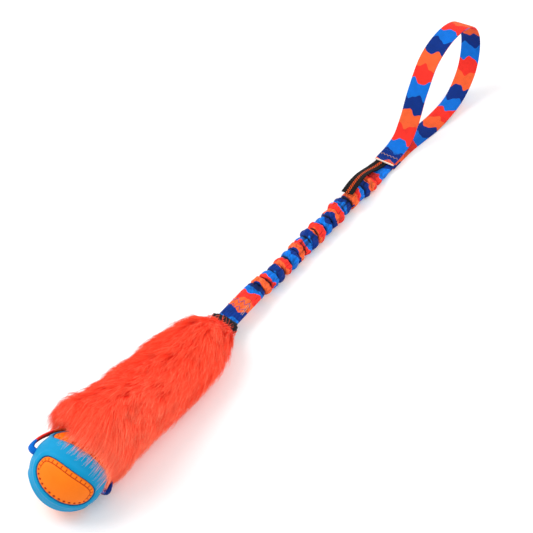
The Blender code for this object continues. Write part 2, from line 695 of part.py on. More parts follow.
def main():
    for obj in list(bpy.data.objects):
        bpy.data.objects.remove(obj)
    for name in (PART_NAME, CUTTERS_NAME):
        bpy.context.scene.collection.children.link(bpy.data.collections.new(name))

    blue_rubber = look("blue rubber", (0.012, 0.318, 0.578), 0.55)
    orange_rubber = look("orange rubber", (1.0, 0.246, 0.015), 0.5)
    print_ball = look("printed webbing, ball strap", (0.01, 0.12, 0.62), 0.7)
    core_web = look("core webbing", (0.02, 0.02, 0.025), 0.8)
    orange_fur = look("orange faux fur", (1.0, 0.082, 0.028), 0.9)
    black_knit = look("black knit", (0.01, 0.01, 0.011), 0.95)
    print_red = look("printed webbing, red", (1.0, 0.06, 0.03), 0.7)
    print_blue = look("printed webbing, blue", (0.005, 0.2, 0.8), 0.7)
    print_orange = look("printed webbing, orange", (1.0, 0.16, 0.04), 0.7)
    elastic = look("elastic", (0.6, 0.58, 0.52), 0.6)
    label_cloth = look("black label", (0.012, 0.012, 0.014), 0.8)

    make_ball(blue_rubber, orange_rubber)
    make_ball_strap(print_ball)
    make_sleeve(orange_fur, black_knit)
    make_cuff(black_knit)
    make_core_strap(core_web)
    make_tail_tab(print_orange)
    make_bungee(print_red, elastic)
    make_sewn_joint(print_blue, label_cloth)
    make_hand_loop(print_red)
    centre_sideways()


main()
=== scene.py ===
# %% [markdown]
# # A bungee ball tug, dressed in Blender
# A dog's tug toy lies on a pale floor: a blue rubber ball on a strap loop, a furry sleeve, a
# gathered bungee and a hand loop of printed webbing. The imported CAD model is loaded as a frame
# that never moves. Most pieces that this lesson makes ride on one of its bodies by name.

# %% Load the frame
import math

import bmesh
import bpy
import numpy as np
from mathutils import Matrix, Vector


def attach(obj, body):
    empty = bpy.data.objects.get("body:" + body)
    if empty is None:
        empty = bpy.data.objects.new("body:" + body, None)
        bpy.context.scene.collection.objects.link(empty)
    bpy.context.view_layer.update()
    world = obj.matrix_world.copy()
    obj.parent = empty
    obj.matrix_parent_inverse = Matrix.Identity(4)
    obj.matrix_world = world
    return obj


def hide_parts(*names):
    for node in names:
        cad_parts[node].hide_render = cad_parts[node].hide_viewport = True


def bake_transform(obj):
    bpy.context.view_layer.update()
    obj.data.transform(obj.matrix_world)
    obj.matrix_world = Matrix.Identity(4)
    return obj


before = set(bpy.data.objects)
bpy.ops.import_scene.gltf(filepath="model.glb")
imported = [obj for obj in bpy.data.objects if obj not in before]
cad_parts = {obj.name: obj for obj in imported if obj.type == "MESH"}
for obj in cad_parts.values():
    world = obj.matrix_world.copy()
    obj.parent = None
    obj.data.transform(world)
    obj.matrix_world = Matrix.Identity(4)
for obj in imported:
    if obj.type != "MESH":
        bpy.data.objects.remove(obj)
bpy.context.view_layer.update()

# %% [markdown]
# The toy is measured along its length, from the ball's middle towards the hand loop. That
# distance is called a station here. Shapes are worked out in millimetres, as a maker would write
# them, and become metres only when a mesh is made.

# %% Stations and millimetres
MM = 0.001
BALL_AT = np.array([-322.0281, -0.1924, 0.0])       # where station 0 is in the frame, in mm
BALL_HEIGHT = 32.9                                  # of the ball's middle over the floor
BALL_MIDDLE = np.array((0, 0, BALL_HEIGHT))


def in_frame(points):
    """Metres in the frame, from rows of station, side and height in millimetres."""
    return (np.asarray(points, float) + BALL_AT) * MM


def ease(value):
    """Zero below 0, one above 1, and a smooth rise between."""
    value = np.clip(value, 0.0, 1.0)
    return value * value * (3 - 2 * value)


def mix(low, high, share):
    """A value between two, low at share 0 and high at share 1."""
    return low + (high - low) * share


def unit(vectors):
    """The same directions at length 1."""
    return vectors / np.maximum(np.linalg.norm(vectors, axis=-1, keepdims=True), 1e-9)


print("ball's middle:", in_frame(BALL_MIDDLE).round(4))

# %% [markdown]
# ## Camera, floor and light
# The photograph was taken from above one end, so the toy runs away from the lens. The camera
# stands over a metre off with a narrow angle, which keeps the far loop nearly as large as the
# near ball. The floor is pale, and broad soft lamps give the ball its wide dull highlight.

# %% Camera
CAMERA_STAND = (-514.0, -536.0, 963.9)              # station, side and height
CAMERA_TURN, CAMERA_TILT, CAMERA_ANGLE = math.atan2(0.555, 0.832), math.radians(44), math.radians(21)
lens = bpy.data.cameras.new("camera")
lens.sensor_fit = "HORIZONTAL"
lens.angle = CAMERA_ANGLE
camera = bpy.data.objects.new("camera", lens)
camera.location = in_frame(CAMERA_STAND)
looking = Vector((math.cos(CAMERA_TURN) * math.cos(CAMERA_TILT),
                  math.sin(CAMERA_TURN) * math.cos(CAMERA_TILT), -math.sin(CAMERA_TILT)))
camera.rotation_euler = looking.to_track_quat("-Z", "Y").to_euler()
bpy.context.scene.collection.objects.link(camera)
bpy.context.scene.camera = camera
bpy.context.scene.view_settings.view_transform = "Standard"
print("camera at", tuple(round(v, 3) for v in camera.location))

# %% [markdown]
# Every material is a small net of nodes. These helpers make a node and feed it in one call,
# with numbers, colours or other nodes' sockets, so a material reads as a list of steps.

# %% Node helpers


def feed(tree, socket, term):
    """Links a socket into an input, or sets a number, a vector or a colour on it."""
    if isinstance(term, bpy.types.NodeSocket):
        tree.links.new(term, socket)
    elif socket.type == "RGBA" and len(term) == 3:
        socket.default_value = (*term, 1)
    else:
        socket.default_value = term


def add_node(tree, kind, inputs=None, **settings):
    """A new node with its settings, and with numbers or sockets fed into its inputs."""
    node = tree.nodes.new(kind)
    for key, value in settings.items():
        setattr(node, key, value)
    for key, term in (inputs or {}).items():
        feed(tree, node.inputs[key], term)
    return node


def calculate(tree, operation, *terms):
    """A Math node on numbers or sockets. Gives its output."""
    return add_node(tree, "ShaderNodeMath", dict(enumerate(terms)), operation=operation).outputs[0]


def blend_colours(tree, share, one, two, blend_type="MIX"):
    """A colour Mix node on colours or sockets. Gives its output."""
    terms = {0: share, 6: one, 7: two}
    return add_node(tree, "ShaderNodeMix", terms, data_type="RGBA", blend_type=blend_type).outputs[2]


def noise(tree, place, scale, detail, roughness=0.5):
    """A Noise Texture at a place. Gives its value from 0 to 1."""
    terms = {"Vector": place, "Scale": scale, "Detail": detail, "Roughness": roughness}
    return add_node(tree, "ShaderNodeTexNoise", terms).outputs["Fac"]


def object_place(tree):
    """Metres in the frame, since every piece's object sits at its origin."""
    return add_node(tree, "ShaderNodeTexCoord").outputs["Object"]


def surface_map(tree):
    """The piece's own UV map, which counts metres along and across the cloth."""
    return add_node(tree, "ShaderNodeUVMap", uv_map="UVMap").outputs["UV"]


def axes_of(tree, place):
    """The X, Y and Z of a place."""
    return add_node(tree, "ShaderNodeSeparateXYZ", {0: place}).outputs


def stored_crease(tree):
    """The value that a mesh keeps for each point, near 1 where little light reaches."""
    return add_node(tree, "ShaderNodeAttribute", attribute_name="crease").outputs["Fac"]


def new_material(name, roughness, gloss=0.5):
    """A material with an empty Principled shader. Gives it, its tree and the shader."""
    material = bpy.data.materials.new(name)
    material.use_nodes = True
    shader = material.node_tree.nodes["Principled BSDF"]
    shader.inputs["Roughness"].default_value = roughness
    shader.inputs["Specular IOR Level"].default_value = gloss
    return material, material.node_tree, shader


def cover(tree, shader, colour, height, strength, distance):
    """Gives a shader its colour, and a bump from a height."""
    tree.links.new(colour, shader.inputs["Base Color"])
    terms = {"Height": height, "Strength": strength, "Distance": distance}
    node = add_node(tree, "ShaderNodeBump", terms)
    tree.links.new(node.outputs["Normal"], shader.inputs["Normal"])


def srgb(red, green, blue):
    """A shader's linear colour from the 0 to 255 values of a screen."""
    parts = [c / 255 for c in (red, green, blue)]
    return tuple(c / 12.92 if c <= 0.04045 else ((c + 0.055) / 1.055) ** 2.4 for c in parts)


print("orange in linear light:", tuple(round(c, 3) for c in srgb(255, 112, 64)))

# %% [markdown]
# The floor is a wide sheet of pale paper. It glows a little for the camera alone, and more with
# distance, because the lamps' pool of light ends about a metre out and the paper stays white.

# %% Floor
FLOOR_SIZE = 12
GLOW_START, GLOW_RISE, LEAST_GLOW, MOST_GLOW = 0.02, 0.17, 0.14, 0.34    # the rise is for each metre
bpy.ops.object.select_all(action="DESELECT")
bpy.ops.mesh.primitive_plane_add(size=FLOOR_SIZE, location=(0, 0, 0))
floor = bpy.context.object
floor.name = "floor"
paper, tree, shader = new_material("pale floor", 0.9, gloss=0.1)
grain = noise(tree, object_place(tree), 3.0, 2.0)
tone = blend_colours(tree, grain, (0.86, 0.86, 0.86), (0.88, 0.88, 0.88))
tree.links.new(tone, shader.inputs["Base Color"])
seen = add_node(tree, "ShaderNodeLightPath").outputs["Is Camera Ray"]
away = add_node(tree, "ShaderNodeVectorMath", {0: object_place(tree)}, operation="LENGTH").outputs["Value"]
glow = calculate(tree, "MAXIMUM", calculate(tree, "MULTIPLY_ADD", away, GLOW_RISE, GLOW_START), LEAST_GLOW)
glow = calculate(tree, "MULTIPLY", seen, calculate(tree, "MINIMUM", glow, MOST_GLOW))
tree.links.new(blend_colours(tree, glow, (0, 0, 0), (1, 1, 1)), shader.inputs["Emission Color"])
shader.inputs["Emission Strength"].default_value = 1.0
floor.data.materials.append(paper)
print("floor:", FLOOR_SIZE, "m wide")

# %% [markdown]
# A white room lights the toy from all sides, and the camera sees it as pure white. A strong lamp
# stands to the toy's left and a weaker one to its right, both broad, so shadows stay soft.

# %% Lamps and world
LAMPS_AIM = (-0.05, 0, 0.02)
world = bpy.data.worlds.new("white room")
world.use_nodes = True
bpy.context.scene.world = world
tree = world.node_tree
room = tree.nodes["Background"]
room.inputs["Color"].default_value = (1, 1, 1, 1)
room.inputs["Strength"].default_value = 0.8
backdrop = add_node(tree, "ShaderNodeBackground", {"Color": (1, 1, 1), "Strength": 1.0})
seen = add_node(tree, "ShaderNodeLightPath").outputs["Is Camera Ray"]
chooser = add_node(tree, "ShaderNodeMixShader", {0: seen, 1: room.outputs[0], 2: backdrop.outputs[0]})
tree.links.new(chooser.outputs[0], tree.nodes["World Output"].inputs["Surface"])


def soft_lamp(name, place, target, size, watts):
    """A broad square lamp that faces a point."""
    light = bpy.data.lights.new(name, "AREA")
    light.size = size
    light.energy = watts
    lamp = bpy.data.objects.new(name, light)
    lamp.location = place
    lamp.rotation_euler = (Vector(target) - Vector(place)).to_track_quat("-Z", "Y").to_euler()
    bpy.context.scene.collection.objects.link(lamp)


soft_lamp("window lamp", (-0.55, 0.75, 1.15), LAMPS_AIM, size=0.9, watts=11.5)
soft_lamp("fill lamp", (0.7, -0.8, 1.3), LAMPS_AIM, size=1.2, watts=6.5)

# %% [markdown]
# ## Shared finishes
# Webbing, knit, rubber and printed cloth share a few effects, so each effect is a node group:
# woven threads, a fine grain, a slow drift of the colour, and the wavy bands of the print.

# %% Group helper


def new_group(name, inputs, outputs):
    """A shader node group with its named sockets. Gives the tree and its two end nodes."""
    kinds = {"vector": "NodeSocketVector", "number": "NodeSocketFloat", "colour": "NodeSocketColor"}
    tree = bpy.data.node_groups.new(name, "ShaderNodeTree")
    for label, (kind, value) in inputs.items():
        socket = tree.interface.new_socket(label, in_out="INPUT", socket_type=kinds[kind])
        if value is not None:
            socket.default_value = value
    for label, kind in outputs.items():
        tree.interface.new_socket(label, in_out="OUTPUT", socket_type=kinds[kind])
    return tree, tree.nodes.new("NodeGroupInput").outputs, tree.nodes.new("NodeGroupOutput").inputs


def use_group(tree, group, **inputs):
    """A group's node in a material, with numbers, colours or sockets by name. Gives its outputs."""
    return add_node(tree, "ShaderNodeGroup", inputs, node_tree=group).outputs


print("group helpers are ready")

# %% [markdown]
# Woven cloth is threads that pass over and under each other. Two sine waves multiplied give the
# little pillows of a plain weave, and the group takes their size along and across the cloth.

# %% Woven threads
weave, given, out = new_group(
    "woven threads", {"Place": ("vector", None), "Along": ("number", 0.001), "Across": ("number", 0.0008)},
    {"Height": "number", "Shade": "number"})
axes = axes_of(weave, given["Place"])


def thread_wave(axis, size):
    """A sine with half a turn for each thread."""
    threads = calculate(weave, "DIVIDE", axis, size)
    return calculate(weave, "SINE", calculate(weave, "MULTIPLY", threads, math.pi))


warp, weft = thread_wave(axes["X"], given["Along"]), thread_wave(axes["Y"], given["Across"])
pillow = calculate(weave, "ABSOLUTE", calculate(weave, "MULTIPLY", warp, weft))
fuzz = noise(weave, given["Place"], 2600.0, 1.0)
height = calculate(weave, "ADD", pillow, calculate(weave, "MULTIPLY", fuzz, 0.5))
shade = calculate(weave, "MULTIPLY_ADD", pillow, 0.3, calculate(weave, "MULTIPLY_ADD", fuzz, 0.3, 0.6))
weave.links.new(height, out["Height"])
weave.links.new(shade, out["Shade"])
print("made group", weave.name)

# %% [markdown]
# The grain is a fine noise and, for wear, the same noise in broad patches. The drift makes a
# colour a little lighter and darker from place to place.

# %% Fine grain and colour drift
speckle, given, out = new_group("fine grain", {"Place": ("vector", None), "Size": ("number", 0.001)},
                                {"Height": "number", "Patches": "number"})
density = calculate(speckle, "DIVIDE", 1.0, given["Size"])
speckle.links.new(noise(speckle, given["Place"], density, 3.0, 0.6), out["Height"])
patches = noise(speckle, given["Place"], calculate(speckle, "MULTIPLY", density, 0.06), 2.0)
speckle.links.new(patches, out["Patches"])

drift, given, out = new_group("colour drift", {"Color": ("colour", None), "Place": ("vector", None),
                                               "Size": ("number", 0.02), "Amount": ("number", 0.1)},
                              {"Color": "colour"})
cloudy = noise(drift, given["Place"], calculate(drift, "DIVIDE", 1.0, given["Size"]), 3.0)
off_middle = calculate(drift, "SUBTRACT", cloudy, 0.5)
swing = calculate(drift, "MULTIPLY", off_middle, calculate(drift, "MULTIPLY", given["Amount"], 2.0))
value = calculate(drift, "ADD", swing, 1.0)
toned = add_node(drift, "ShaderNodeHueSaturation", {"Color": given["Color"], "Value": value})
drift.links.new(toned.outputs["Color"], out["Color"])
print("made groups", speckle.name, "and", drift.name)

# %% [markdown]
# The webbing's print is four colours in turn: dark blue, light blue, red and orange. Each border
# is a wavy line of its own, so the wave's phase depends on the number of the nearest border. The
# bands are generic: they take the colours and the scale of the real print and none of its motifs.

# %% Wavy bands
DARK_BLUE, LIGHT_BLUE = srgb(0, 48, 134), srgb(2, 116, 222)
RED, ORANGE = srgb(255, 52, 40), srgb(255, 102, 50)
bands, given, out = new_group("wavy bands", {"Place": ("vector", None), "Band": ("number", 0.015),
                                             "Start": ("number", 0.0), "Sway": ("number", 0.16)},
                              {"Color": "colour"})
axes = axes_of(bands, given["Place"])
along = calculate(bands, "DIVIDE", calculate(bands, "ADD", axes["X"], given["Start"]), given["Band"])
border = calculate(bands, "FLOOR", calculate(bands, "ADD", along, 0.5))


def border_wave(radians_per_metre, step):
    """A wave across the webbing, which starts elsewhere at each border."""
    phase = calculate(bands, "MULTIPLY", border, step)
    return calculate(bands, "SINE", calculate(bands, "MULTIPLY_ADD", axes["Y"], radians_per_metre, phase))


wide, narrow = border_wave(330.0, 2.4), border_wave(720.0, 4.1)
wave = calculate(bands, "MULTIPLY_ADD", narrow, 0.3, wide)
ragged = noise(bands, given["Place"], 160.0, 1.0)
wave = calculate(bands, "MULTIPLY_ADD", calculate(bands, "SUBTRACT", ragged, 0.5), 0.6, wave)
shifted = calculate(bands, "MULTIPLY_ADD", wave, given["Sway"], along)
turn = calculate(bands, "DIVIDE", calculate(bands, "FLOORED_MODULO", shifted, 4.0), 4.0)
ramp = add_node(bands, "ShaderNodeValToRGB", {0: turn})
ramp.color_ramp.interpolation = "CONSTANT"
stops = ramp.color_ramp.elements
for position in (0.5, 0.75):
    stops.new(position)
for number, colour in enumerate((DARK_BLUE, LIGHT_BLUE, RED, ORANGE)):
    stops[number].position = number / 4
    stops[number].color = (*colour, 1)
bands.links.new(ramp.outputs["Color"], out["Color"])
print("band colours:", [tuple(round(c, 2) for c in s.color[:3]) for s in stops])

# %% [markdown]
# A printed cloth material joins the groups: bands for the colour, a drift for ink that is never
# even, and a weave for the bump and for painted shade between the threads. Webbing and the thinner
# bungee cloth differ only in numbers. Gathered cloth also folds into fine creases, with painted
# shade in them, and near-black painted shade where it is drawn in.

# %% Printed cloth


def printed_cloth(name, band, start, sway, threads, thread_depth, roughness, puckered=False):
    """Printed cloth, in metres. threads is their size along and across the cloth."""
    material, tree, shader = new_material(name, roughness, gloss=0.12)
    place = surface_map(tree)
    printed = use_group(tree, bands, Place=place, Band=band, Start=start, Sway=sway)
    woven = use_group(tree, weave, Place=place, Along=threads[0], Across=threads[1])
    inked = use_group(tree, drift, Place=place, Color=printed["Color"], Size=0.007, Amount=0.2)
    # The weave's Shade is painted shade between the threads, with a random tone from its fuzz
    wear_and_shade = blend_colours(tree, 1.0, inked["Color"], woven["Shade"], "MULTIPLY")
    height = woven["Height"]
    if puckered:
        stretched = add_node(tree, "ShaderNodeMapping", {"Scale": (90.0, 420.0, 1.0), "Vector": place})
        folds = noise(tree, stretched.outputs[0], 1.0, 2.0)
        height = calculate(tree, "MULTIPLY_ADD", height, 0.12, calculate(tree, "MULTIPLY", folds, 3.4))
        # Painted shade in the fine creases, and near black where the cloth is drawn in
        valley_shade = stored_crease(tree)
        fold_shade = calculate(tree, "MULTIPLY_ADD", folds, 2.6, -0.2)
        wear_and_shade = blend_colours(tree, 0.8, wear_and_shade, fold_shade, "MULTIPLY")
        wear_and_shade = blend_colours(tree, valley_shade, wear_and_shade, (0.004, 0.006, 0.015))
    cover(tree, shader, wear_and_shade, height, 0.6, thread_depth)
    return material


print("printed cloth is ready")

# %% [markdown]
# ## Meshes from rings
# Straps, tubes and cloth are all a row of rings joined to the next. One helper makes such a
# skin, with caps where it ends, and gives it a UV map that counts metres along and across. That
# is how the print follows every fold.

# %% Skin over rings


def outward(mesh):
    """Turns the faces of a closed mesh so that they point out of it."""
    shape = bmesh.new()
    shape.from_mesh(mesh)
    if shape.calc_volume(signed=True) < 0:
        bmesh.ops.reverse_faces(shape, faces=shape.faces)
    shape.to_mesh(mesh)
    shape.free()


def new_piece(name, points, faces, uv=None, material=None):
    """A closed piece from points and one UV pair for each, all in millimetres."""
    mesh = bpy.data.meshes.new(name)
    corners = np.concatenate([np.ravel(rows) for rows in faces]).astype(np.int32)
    sizes = np.concatenate([np.full(len(rows), len(rows[0])) for rows in faces if len(rows)])
    mesh.vertices.add(len(points))
    mesh.vertices.foreach_set("co", in_frame(points).astype(np.float32).ravel())
    mesh.loops.add(len(corners))
    mesh.loops.foreach_set("vertex_index", corners)
    mesh.polygons.add(len(sizes))
    mesh.polygons.foreach_set("loop_start", np.concatenate(([0], np.cumsum(sizes)[:-1])).astype(np.int32))
    mesh.update(calc_edges=True)
    if uv is not None:
        layer = mesh.uv_layers.new(name="UVMap")
        layer.data.foreach_set("uv", (np.asarray(uv)[corners] * MM).astype(np.float32).ravel())
    mesh.validate()
    if material:
        mesh.materials.append(material)
    mesh.shade_smooth()
    outward(mesh)
    piece = bpy.data.objects.new(name, mesh)
    bpy.context.scene.collection.objects.link(piece)
    return piece


def ring_faces(rows, count, first=0, flip=False, close=False):
    """Quads between rings of so many points each. close joins the last ring to the first."""
    i, k = np.meshgrid(np.arange(rows if close else rows - 1), np.arange(count), indexing="ij")
    j, n = (i + 1) % rows, (k + 1) % count
    quads = np.stack((i * count + k, i * count + n, j * count + n, j * count + k), -1).reshape(-1, 4)
    return (quads[:, ::-1] if flip else quads) + first


def cap_faces(rows, count):
    """The two end faces of a skin."""
    return np.array([np.arange(count)[::-1], np.arange(count) + (rows - 1) * count])


def capped_skin(name, rings, uv, material):
    """A piece over rows of rings, with a cap at each end."""
    rows, count = rings.shape[:2]
    faces = [ring_faces(rows, count), cap_faces(rows, count)]
    return new_piece(name, rings.reshape(-1, 3), faces, uv, material)


def move_points(piece, metres):
    """Puts the points of a piece at new places in the frame."""
    piece.data.vertices.foreach_set("co", metres.astype(np.float32).ravel())


def store_crease(piece, values):
    """Keeps a value for each point, by which a material paints shade on the piece."""
    layer = piece.data.attributes.new("crease", "FLOAT", "POINT")
    layer.data.foreach_set("value", np.asarray(values, np.float32))


def smooth_route(points, step, scale=1.0):
    """A smooth curve through points of any number of values, with a point at least every step."""
    points = np.array(points, float) * np.array(scale)
    lengths = np.linalg.norm(np.diff(points, axis=0), axis=1)
    slopes = np.diff(points, axis=0) / lengths[:, None]
    before, after = lengths[:-1, None], lengths[1:, None]
    middle = (slopes[:-1] * after + slopes[1:] * before) / (before + after)
    tangents = np.concatenate((slopes[:1], middle, slopes[-1:]))
    route = []
    for i, length in enumerate(lengths):
        parts = max(1, math.ceil(length / step))
        for t in np.arange(parts) / parts:
            start = points[i] * (1 + 2 * t) * (1 - t) ** 2 + tangents[i] * length * t * (1 - t) ** 2
            end = points[i + 1] * t * t * (3 - 2 * t) - tangents[i + 1] * length * t * t * (1 - t)
            route.append(start + end)
    return np.array(route + [points[-1]]) / np.array(scale)


def walked(route):
    """The distance walked along a route at each of its points."""
    return np.concatenate(([0.0], np.cumsum(np.linalg.norm(np.diff(route[:, :3], axis=0), axis=1))))


ROLL_APART = (1, 1, 1, 1e-5)        # a fourth value along a route adds nothing to its length
print("skin helpers are ready")

# %% [markdown]
# ## Rubber ball
# The ball is moulded rubber, hollow, with a bore for the strap. Round the bore lie four
# recesses, flat on one long side, each with a broad raised lip. A panel's outline is worked out
# in degrees from its middle, and wrapped onto the ball.

# %% Outline of a panel
BALL_RADIUS, LIP_RISE, LIP_CREST = 32.0, 0.88, 2.9
LOOP_TILT, BORE_TURN = 27.6, 13.9
PANEL_TURNS = [math.radians(42.5 + 90 * k) for k in range(4)]
PANEL_HALF_LENGTH = 53.5                                # in degrees seen from the ball's middle
FLAT_SIDE, ROUND_SIDE = (24.5, 3.0), (29.5, 2.2)        # reach in degrees, and squareness
PANEL_LEAN = math.radians(5.5)
DEGREE = BALL_RADIUS * math.pi / 180                    # millimetres of rubber in one degree


def turned_by(degrees, axis):
    return np.array(Matrix.Rotation(math.radians(degrees), 3, axis))


BALL_TURN = turned_by(LOOP_TILT, "X") @ turned_by(BORE_TURN, "Z")
LEAN_TURN = np.array(((math.cos(PANEL_LEAN), -math.sin(PANEL_LEAN)),
                      (math.sin(PANEL_LEAN), math.cos(PANEL_LEAN))))


def panel_outline(inward, count):
    """The outline in degrees, so many millimetres in, and how far each point faces the sleeve."""
    angle = np.linspace(0, math.tau, 1441)
    reach, power = np.where((angle < math.pi)[:, None], FLAT_SIDE, ROUND_SIDE).T
    along = np.sign(np.cos(angle)) * np.abs(np.cos(angle)) ** (2 / power)
    across = np.sign(np.sin(angle)) * np.abs(np.sin(angle)) ** (2 / power)
    rim = np.stack((along * PANEL_HALF_LENGTH, across * reach), -1)
    lap = walked(rim)
    even = np.linspace(0, lap[-1], count, endpoint=False)
    points = np.stack([np.interp(even, lap, rim[:, k]) for k in (0, 1)], -1)
    tangent = unit(np.roll(points, -1, 0) - np.roll(points, 1, 0))
    facing = np.stack((tangent[:, 1], -tangent[:, 0]), -1)
    return (points - facing * inward / DEGREE) @ LEAN_TURN.T, facing[:, 1]


def outline_distance(along, across):
    """Millimetres of rubber from a panel's outline, below zero inside it."""
    flat = np.stack((along, across), -1) @ LEAN_TURN
    near = np.full(len(flat), np.inf)
    for point in panel_outline(0, 480)[0] @ LEAN_TURN:
        near = np.minimum(near, np.hypot(flat[:, 0] - point[0], flat[:, 1] - point[1]))
    reach, power = np.where((flat[:, 1] > 0)[:, None], FLAT_SIDE, ROUND_SIDE).T
    within = np.abs(flat[:, 0] / PANEL_HALF_LENGTH) ** power + np.abs(flat[:, 1] / reach) ** power < 1
    return np.where(within, -near, near) * DEGREE


def panel_axes(turn):
    """Ways from the ball's middle to a panel's middle, and across the panel."""
    return np.array([-math.cos(turn), 0, math.sin(turn)]), np.array([math.sin(turn), 0, math.cos(turn)])


def on_ball(along, across, radius, turn):
    """Places on the ball so many degrees from a panel's middle."""
    distance = np.radians(np.hypot(along, across))
    middle, up = panel_axes(turn)
    heading = np.radians(along)[:, None] * np.array([0, 1.0, 0]) + np.radians(across)[:, None] * up
    heading /= np.maximum(distance, 1e-9)[:, None]
    points = middle * np.cos(distance)[:, None] + heading * np.sin(distance)[:, None]
    return points @ BALL_TURN.T * np.reshape(radius, (-1, 1)) + BALL_MIDDLE


PANEL_LAP = float(walked(panel_outline(0, 320)[0])[-1] * DEGREE)
print("a panel is", round(PANEL_LAP, 1), "mm round")

# %% [markdown]
# A UV sphere whose poles sit on the bore is the natural start. Its pole fans are deleted to open
# the bore, its points move in or out to make the recesses and their lips, and Solidify gives it
# a wall.

# %% Ball shell
BORE_RADIUS, BORE_ROUND = 4.0, 3.0                      # in mm, and in degrees
RECESS_DEPTH, RECESS_WALL, RUBBER_WALL = 2.0, 0.7, 4.0
LIP_INSIDE, LIP_OUTSIDE = 2.6, 2.3                      # widths of the lip's two slopes
HOLE_TURN = math.degrees(math.asin(BORE_RADIUS / BALL_RADIUS))
bpy.ops.object.select_all(action="DESELECT")
bpy.ops.mesh.primitive_uv_sphere_add(segments=296, ring_count=164, radius=BALL_RADIUS * MM)
ball = bpy.context.object
ball.name = "ball_rubber_shell"
shape = bmesh.new()
shape.from_mesh(ball.data)
hole_edge = math.cos(math.radians(HOLE_TURN - 0.5))
poles = [v for v in shape.verts if abs(v.co.z) / v.co.length > hole_edge]
bmesh.ops.delete(shape, geom=poles, context="VERTS")
shape.to_mesh(ball.data)
shape.free()

heading = unit(np.array([v.co for v in ball.data.vertices]).reshape(-1, 3))
heading = heading @ turned_by(90, "X").T                # poles onto the bore
nearest = np.full(len(heading), 99.0)                   # millimetres from the nearest panel's outline
for turn in PANEL_TURNS:
    middle, up = panel_axes(turn)
    away = np.degrees(np.arccos(np.clip(heading @ middle, -1, 1)))
    flat = unit(np.stack((heading[:, 1], heading @ up), -1)) * away[:, None]
    close = away < PANEL_HALF_LENGTH + 14.5
    nearest[close] = np.minimum(nearest[close], outline_distance(flat[close, 0], flat[close, 1]))
slope = np.where(nearest < LIP_CREST, LIP_INSIDE, LIP_OUTSIDE)
lip = LIP_RISE * np.exp(-((nearest - LIP_CREST) / slope) ** 2)
edge = LIP_RISE * math.exp(-(LIP_CREST / LIP_INSIDE) ** 2)
recess = -RECESS_DEPTH + ease((nearest + RECESS_WALL) / RECESS_WALL) * (RECESS_DEPTH + edge)
rise = np.where(nearest > 0, lip, recess)
from_bore = np.degrees(np.arccos(np.abs(heading[:, 1])))
bore_round = ease((HOLE_TURN + BORE_ROUND - from_bore) / BORE_ROUND)
radius = BALL_RADIUS + rise - 0.8 * bore_round
move_points(ball, in_frame((heading * radius[:, None]) @ BALL_TURN.T + BALL_MIDDLE))
# Painted shade in the corner of each recess
store_crease(ball, ease(1 - nearest / 0.55))
ball.data.update()

bpy.ops.object.mode_set(mode="EDIT")
bpy.ops.mesh.select_all(action="SELECT")
bpy.ops.mesh.normals_make_consistent(inside=False)
bpy.ops.object.mode_set(mode="OBJECT")
wall = ball.modifiers.new("rubber wall", "SOLIDIFY")
wall.thickness = RUBBER_WALL * MM
wall.offset = -1
bpy.ops.object.modifier_apply(modifier=wall.name)
ball.data.shade_smooth()
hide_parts("ball_shell")
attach(ball, "ball")
print("ball faces:", len(ball.data.polygons), "rise", rise.min().round(2), rise.max().round(2))

# %% [markdown]
# The rubber is matt with a very fine mould texture, and dust and wear make some patches a
# little duller. In the corner of each recess a value that was stored on the mesh paints shade
# into the colour.

# %% Rubber finish


def moulded_rubber(name, colour, dark, roughness, grain_size, grain_depth):
    """Matt rubber with painted shade where the mesh has its creases. The grain is in metres."""
    material, tree, shader = new_material(name, roughness, gloss=0.14)
    place = object_place(tree)
    mould = use_group(tree, speckle, Place=place, Size=grain_size)
    toned = use_group(tree, drift, Place=place, Color=colour, Size=0.009, Amount=0.09)
    crease_shaded = blend_colours(tree, stored_crease(tree), toned["Color"], dark)
    wear_and_shade = calculate(tree, "SUBTRACT", mould["Patches"], 0.5)
    tree.links.new(calculate(tree, "MULTIPLY_ADD", wear_and_shade, 0.3, roughness), shader.inputs["Roughness"])
    cover(tree, shader, crease_shaded, mould["Height"], 0.35, grain_depth)
    return material


# The second colour is the painted shade in the recess corners
blue_rubber = moulded_rubber("blue ball rubber", srgb(0, 146, 197), srgb(0, 84, 130), 0.5, 0.0006, 0.00015)
ball.data.materials.append(blue_rubber)
print("blue rubber on", ball.name)

# %% [markdown]
# Each recess holds an orange rubber panel. A groove runs inside its edge on the sleeve's side
# and round both ends, with short ticks across to the edge like stitches, and a row of small
# pits follows the other side. They are pressed into rings that run parallel to the outline.

# %% Orange panels
LAP, TICKS = 450, 30                                # points and ticks round a panel
TICK_PITCH = 142 / TICKS                           # millimetres; the outline itself is 150 round
PANEL_FACE, PANEL_BACK, PANEL_DOME = BALL_RADIUS - 0.35, 1.5, 0.25
GROOVE_AT, PITS_AT = 4.4, 2.5                       # millimetres inside the outline
GROOVE_DEPTH, TICK_DEPTH, PIT_DEPTH, EDGE_DEPTH = 0.7, 0.6, 1.15, 0.9
from_tick = np.abs(((np.arange(LAP) / LAP * TICKS) % 1) - 0.5) * TICK_PITCH


